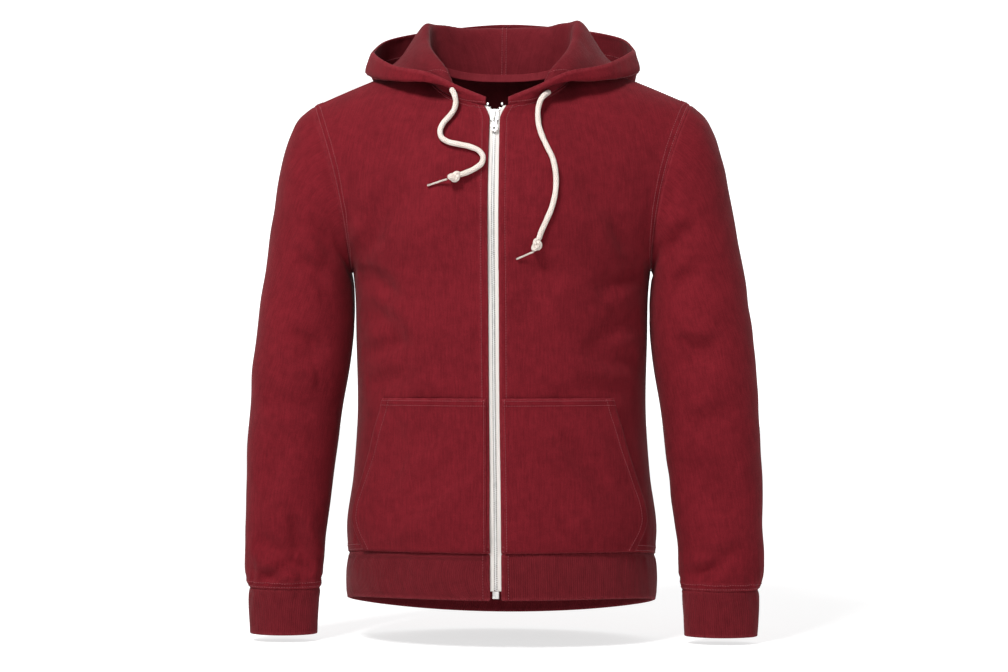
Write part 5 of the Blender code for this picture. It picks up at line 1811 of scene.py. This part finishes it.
@dataclass
class Hood:
    """The hood's outer cloth and its lining, lying back, with the tape on the neck seam inside."""

    steps: int = 14
    columns: int = 4
    clears: float = 0.0030
    passes: int = 6
    lies_from: float = math.radians(46)
    rows_fine: int = 112
    columns_fine: int = 92
    hem: float = 0.026
    tape_width: float = 0.0085
    tape_rows: int = 8

    def coarse(self) -> tuple[Array, Array]:
        """The form's own grid for x above 0, rows from the neck seam to the rim and columns from the front
        to the back, and the way out at the seam."""
        u = np.linspace(0, CUT.neck_share, self.columns + 1)
        front, front_out = FORM.neck_seam(True, u)
        back, back_out = FORM.neck_seam(False, u)
        seam = np.concatenate([front, back[-2::-1]])
        seam_out = np.concatenate([front_out, back_out[-2::-1]])
        angle = np.arctan2(seam[:, 0], -seam[:, 1])
        flat = spatial(np.sin(angle), -np.cos(angle), 0)
        degrees = np.degrees(angle)
        stops = [np.stack([np.hypot(seam[:, 0], seam[:, 1]), seam[:, 2]], -1)]
        for stop in ("ridge", "bag", "belly", "rim"):
            stops.append(np.stack([HOOD(f"{stop}_out", degrees), HOOD(f"{stop}_up", degrees)], -1))
        stops = np.array(stops)
        profile = np.empty((self.steps + 1, len(angle), 2))
        for i in range(len(angle)):
            chord = np.linalg.norm(np.diff(stops[:, i], axis=0), axis=1) ** 0.5
            knots = np.concatenate([[0], np.cumsum(chord)])
            profile[:, i] = smooth(knots, stops[:, i], np.linspace(0, knots[-1], self.steps + 1))
        return flat[None] * profile[..., :1] + spatial(0, 0, profile[..., 1]), seam_out

    @staticmethod
    def body_points() -> tuple[Array, Array]:
        """Points all over the body's plain form, with the ways out of it."""
        points, ways = [], []
        u, down, t = np.linspace(0, 1, 30), np.linspace(0.7, 0, 24), np.linspace(0, 1, 40)
        for front in (True, False):
            grid = FORM.half_panel(front, u, down[:-1], t)
            out = grid_normals(grid) * (1 if front else -1)
            for flip in (1, -1):
                points.append((grid * (flip, 1, 1)).reshape(-1, 3))
                ways.append((out * (flip, 1, 1)).reshape(-1, 3))
        return np.concatenate(points), np.concatenate(ways)

    def lifted(self, points: Array) -> Array:
        """The grid moved out to where it, and the middles between its points, are clear of the body.

        Each point's distance is measured along the way out of the nearest of the body's points.
        """
        body, ways = self.body_points()
        moved = points.copy()
        lies = (np.abs(np.arctan2(points[0, :, 0], -points[0, :, 1])) > self.lies_from).astype(float)
        rows, columns = points.shape[:2]
        row, column = np.meshgrid(np.arange(2, rows), np.arange(columns), indexing="ij")
        for _ in range(self.passes):
            push = np.zeros_like(points)
            for down, along in ((0, 0), (0, 1), (1, 0), (1, 1), (1, -1)):
                row_2 = np.minimum(row + down, rows - 1)
                column_2 = np.clip(column + along, 0, columns - 1)
                middle = (moved[row, column] + moved[row_2, column_2]) / 2
                near = np.linalg.norm(middle[..., None, :] - body, axis=-1).argmin(-1)
                short = self.clears - np.sum((middle - body[near]) * ways[near], -1)
                for ends in ((row, column), (row_2, column_2)):
                    more = np.linalg.norm(push[ends], axis=-1) < short
                    push[ends] = np.where(more[..., None], ways[near] * short[..., None], push[ends])
            push[:, -1, 0] = 0
            moved[3:] += push[3:] * lies[:, None]
        return moved

    def build(self) -> None:
        """Both halves of the outer cloth and the lining, the seams' stitches and the neck tape."""
        points, seam_out = self.coarse()
        points = self.lifted(points)
        whole = np.concatenate([points, points[:, -2::-1] * (-1, 1, 1)], 1)
        fine = finer(whole, self.rows_fine, 2 * self.columns_fine - 1)
        fine[:, self.columns_fine - 1, 0] = 0
        out = grid_normals(fine)
        seam = np.concatenate([seam_out, seam_out[-2::-1] * (-1, 1, 1)])
        edge_out = finer(seam[None].repeat(2, 0), 2, 2 * self.columns_fine - 1)[0]
        blend = eased(np.arange(self.rows_fine), 0, 8)[:, None, None]
        out = unit(edge_out[None] * (1 - blend) + out * blend)
        full = Panel(fine, out)
        lines = []
        for side in Side:
            half = slice(0, self.columns_fine) if side is Side.RIGHT else slice(self.columns_fine - 1, None)
            panel = Panel(full.points[:, half], full.out[:, half])
            if side is Side.LEFT:
                panel = Panel(panel.points[:, ::-1], panel.out[:, ::-1])
            panel = self.drawn(panel)
            rim, seam_off = panel.off(Edge.LAST_ROW), panel.off(Edge.FIRST_ROW)
            centre = panel.off(Edge.LAST_COLUMN)
            inside = eased(seam_off, 0.004, 0.03)
            amount = rumple(panel.points, 0.07, 61) * 0.0012 * inside
            amount += rumple(panel.points, 0.03, 62) * 0.0004 * inside
            amount += FOLDS.relief("hood", panel) * inside * eased(np.minimum(rim, centre), 0.0, 0.02)
            amount += seam_relief(rim, (self.hem,), 0.0) + puckers(rim, panel.lengths(1), 0.0006, 0.02, 0.02, 63)
            amount += 0.0009 * eased(rim, 0.0, 0.004) * (1 - eased(rim, self.hem - 0.002, self.hem + 0.001))
            amount += seam_relief(centre, (0.0022,), 0.0) * 0.6 + seam_relief(seam_off, (0.0030,), 0.0)
            worn = 0.5 * hump(rim, 0.0, 0.003) + 0.3 * hump(rim, self.hem + 0.001, 0.0012)
            worn += 0.3 * hump(centre, 0, 0.002)
            worn = np.clip(worn + 0.35 * hump(seam_off, 0.001, 0.0018), 0, 1)
            panel = panel.raised(amount)
            name = side.label
            deep = CUT.hood_layer + CUT.seam_gap
            outer = SHOP.add(f"hood_outer_{name}_cloth", wall("hood", panel, CUT.hood_layer, worn), [FLEECE, FLEECE],
                             "fleece", [f"hood_outer_{name}"])
            lining = SHOP.add(f"hood_lining_{name}_cloth", wall("hood", panel, CUT.hood_layer, worn, depth=deep),
                              [LINING, LINING], "hood_lining", [f"hood_lining_{name}"])
            inner = Panel(panel.points - panel.out * (deep + CUT.hood_layer), -panel.out)
            for face in (panel, inner):
                lines += [face.line(Edge.LAST_ROW, self.hem), face.line(Edge.LAST_COLUMN, 0.0022)]
            lines.append(panel.line(Edge.FIRST_ROW, 0.0030))
        SHOP.stitches("hood_topstitching", lines, THREAD)
        self.tape(full)

    @staticmethod
    def drawn(panel: Panel) -> Panel:
        """The panel with its edges drawn back by half the cloth's thickness, by reading it a little in."""
        gap = CUT.hood_layer / 2 + CUT.seam_gap / 2
        rows, columns = panel.points.shape[:2]
        tall, wide = panel.lengths(0)[-1].mean(), panel.lengths(1)[:, -1].mean()
        r = np.linspace(gap / tall, 1 - gap / tall, rows) * (rows - 1)
        c = np.linspace(gap / wide, 1 - 0.75 * gap / wide, columns) * (columns - 1)
        both = np.concatenate([panel.points, panel.out], -1)
        first = smooth(np.arange(rows), both.reshape(rows, -1), r).reshape(rows, columns, -1).swapaxes(0, 1)
        second = smooth(np.arange(columns), first.reshape(columns, -1), c).reshape(columns, rows, -1).swapaxes(0, 1)
        second[:, -1, 0] = math.copysign(gap * 0.55, second[:, :, 0].mean())
        return Panel(second[..., :3], unit(second[..., 3:]))

    def tape(self, full: Panel) -> None:
        """The tape over the back neck seam inside, on the first of the hood's cloth above the seam."""
        wide = full.points.shape[1]
        first = int(wide * 3 / 16)
        band = slice(first, wide - first)
        rows = [full.line(Edge.FIRST_ROW, up) for up in np.linspace(1e-5, self.tape_width, self.tape_rows)]
        panel = Panel(np.stack([row.points[band] for row in rows]), np.stack([row.out[band] for row in rows]))
        deep = 2 * CUT.hood_layer + 3 * CUT.seam_gap
        piece = SHOP.add("neck_tape_cloth", wall("neck_tape", panel, CUT.neck_tape, depth=deep), [NECK_TAPE, NECK_TAPE],
                         "hood_lining", ["neck_tape"])


# ---------------------------------------------------------------------------------------------------------
# Zip


@dataclass
class Zip:
    """The zip's two tapes and its teeth. Its slider, tab, stops and box keep their solids' shape."""

    tape_reach: float = 0.0060
    tape: float = 0.0008
    teeth_half: float = 0.0017
    teeth_deep: float = 0.0024
    teeth_clear: float = 0.00015
    pitch: float = 0.0025

    def chain(self) -> tuple[Array, Array, Array, Array]:
        """The fronts' edge, the way out of it, and the same a little way in under the cloth, from the
        chain's foot to the neck."""
        down = np.linspace(0.8, 0.0, 14, endpoint=False)
        u = np.array([0.0, 0.022])
        around = FORM.angle_round(True, u)
        height = mixed(CUT.hem_seam, CUT.hem_edge, down[:, None]) - FORM.drop(around)
        hem = FORM.ring(HEM_BAND, down[:, None], around[None, :], height)
        rest = FORM.half_panel(True, u, np.linspace(1, 0, 110)[:-1], np.linspace(0, 1, 80))
        both = np.concatenate([hem, rest])
        out = grid_normals(both)
        edge_out = unit(out[:, 0] * (0, 1, 1))
        share = (self.tape_reach / np.linalg.norm(both[:, 1] - both[:, 0], axis=1))[:, None]
        return both[:, 0], edge_out, mixed(both[:, 0], both[:, 1], share), unit(mixed(edge_out, out[:, 1], share))

    def build(self) -> None:
        """Both tapes and both rows of teeth, and the metal's finish on the rest."""
        edge, edge_out, under, under_out = self.chain()
        depth = CUT.rib + 2 * CUT.seam_gap
        teeth_depth = depth + (self.tape - self.teeth_deep) / 2
        middle = edge.copy()
        middle[:, 0] = self.teeth_clear + FORM.front_edge(edge[:, 2]) - CUT.zip_edge
        inner = middle + (self.teeth_half + CUT.seam_gap, 0, 0)
        stops = [inner, mixed(inner, edge, 0.33), mixed(inner, edge, 0.67), edge, mixed(edge, under, 0.5), under]
        ways = [edge_out, edge_out, edge_out, edge_out, unit(edge_out + under_out), under_out]
        tape = Panel(np.stack(stops, 1), np.stack(ways, 1))
        for side in Side:
            name = side.label
            half = tape if side is Side.RIGHT else tape.other_side()
            half = Panel(FORM.off_middle(half.points), half.out)
            piece = SHOP.add(f"zip_tape_{name}_woven", wall("zip_tape", half, self.tape, depth=depth),
                             [ZIP_TAPE, ZIP_TAPE], "zip_tape", [f"zip_tape_{name}"])
            self.teeth(side, middle, edge_out, teeth_depth + self.teeth_deep / 2)
        for node in ("zip_slider", "zip_pull_tab", "zip_foot_box", "zip_stop_left", "zip_stop_right"):
            for slot in bpy.data.objects[node].material_slots:
                slot.material = ZIP_METAL

    def teeth(self, side: Side, middle: Array, out: Array, depth: float) -> None:
        """One row of teeth: each a waisted block whose head reaches between the other row's."""
        flip = np.array([side.value, 1, 1])
        line = Line(middle - out * depth, out)
        count = int(line.length / self.pitch)
        offset = 0.25 if side is Side.RIGHT else 0.75
        at = (np.arange(count - 1) + offset + 0.2) * line.length / count
        places, along, ways = line.read(at)
        places = FORM.off_middle(places * flip)
        across = np.tile([side.value, 0.0, 0.0], (len(places), 1))
        along = unit(along * (0, 1, 1))
        axes = np.stack([across, along, np.cross(across, along)], axis=1)
        profile = ((-0.0009, 0.44, 0.78), (-0.0002, 0.50, 0.90), (0.0007, 0.34, 1.0), (0.0019, 0.50, 1.0))
        ring = np.array([(-0.5, -0.5), (0.5, -0.5), (0.5, 0.5), (-0.5, 0.5)])
        template = np.concatenate([
            np.column_stack([np.full(4, x), ring[:, 0] * self.pitch * wide, ring[:, 1] * self.teeth_deep * deep])
            for x, wide, deep in profile
        ])
        faces = []
        for k in range(len(profile) - 1):
            for j in range(4):
                n = (j + 1) % 4
                faces.append((4 * k + j, 4 * k + n, 4 * k + 4 + n, 4 * k + 4 + j))
        faces += [(3, 2, 1, 0), tuple(4 * len(profile) - 4 + j for j in range(4))]
        faces = np.array(faces)
        if np.linalg.det(axes[0]) > 0:
            faces = faces[:, ::-1]
        mesh = repeated("teeth", template, faces, places, axes, np.ones((len(places), 3)))
        mesh.polygons.foreach_set("use_smooth", np.zeros(len(mesh.polygons), bool))
        SHOP.add(f"zip_teeth_{side.label}_cast", mesh, [TEETH_METAL], "zip_metal", [f"zip_teeth_{side.label}"])


# ---------------------------------------------------------------------------------------------------------


def main() -> None:
    """Builds the studio, the cords and then the garment from the inside out."""
    logging.basicConfig(level=logging.INFO, format="%(name)s %(message)s")
    Studio().build()
    Drawcords().build()
    for part in (Body(), Sleeves(), Pockets(), Hood(), Zip()):
        part.build()
        LOG.info("%s is finished", type(part).__name__)


if __name__ == "__main__":
    main()
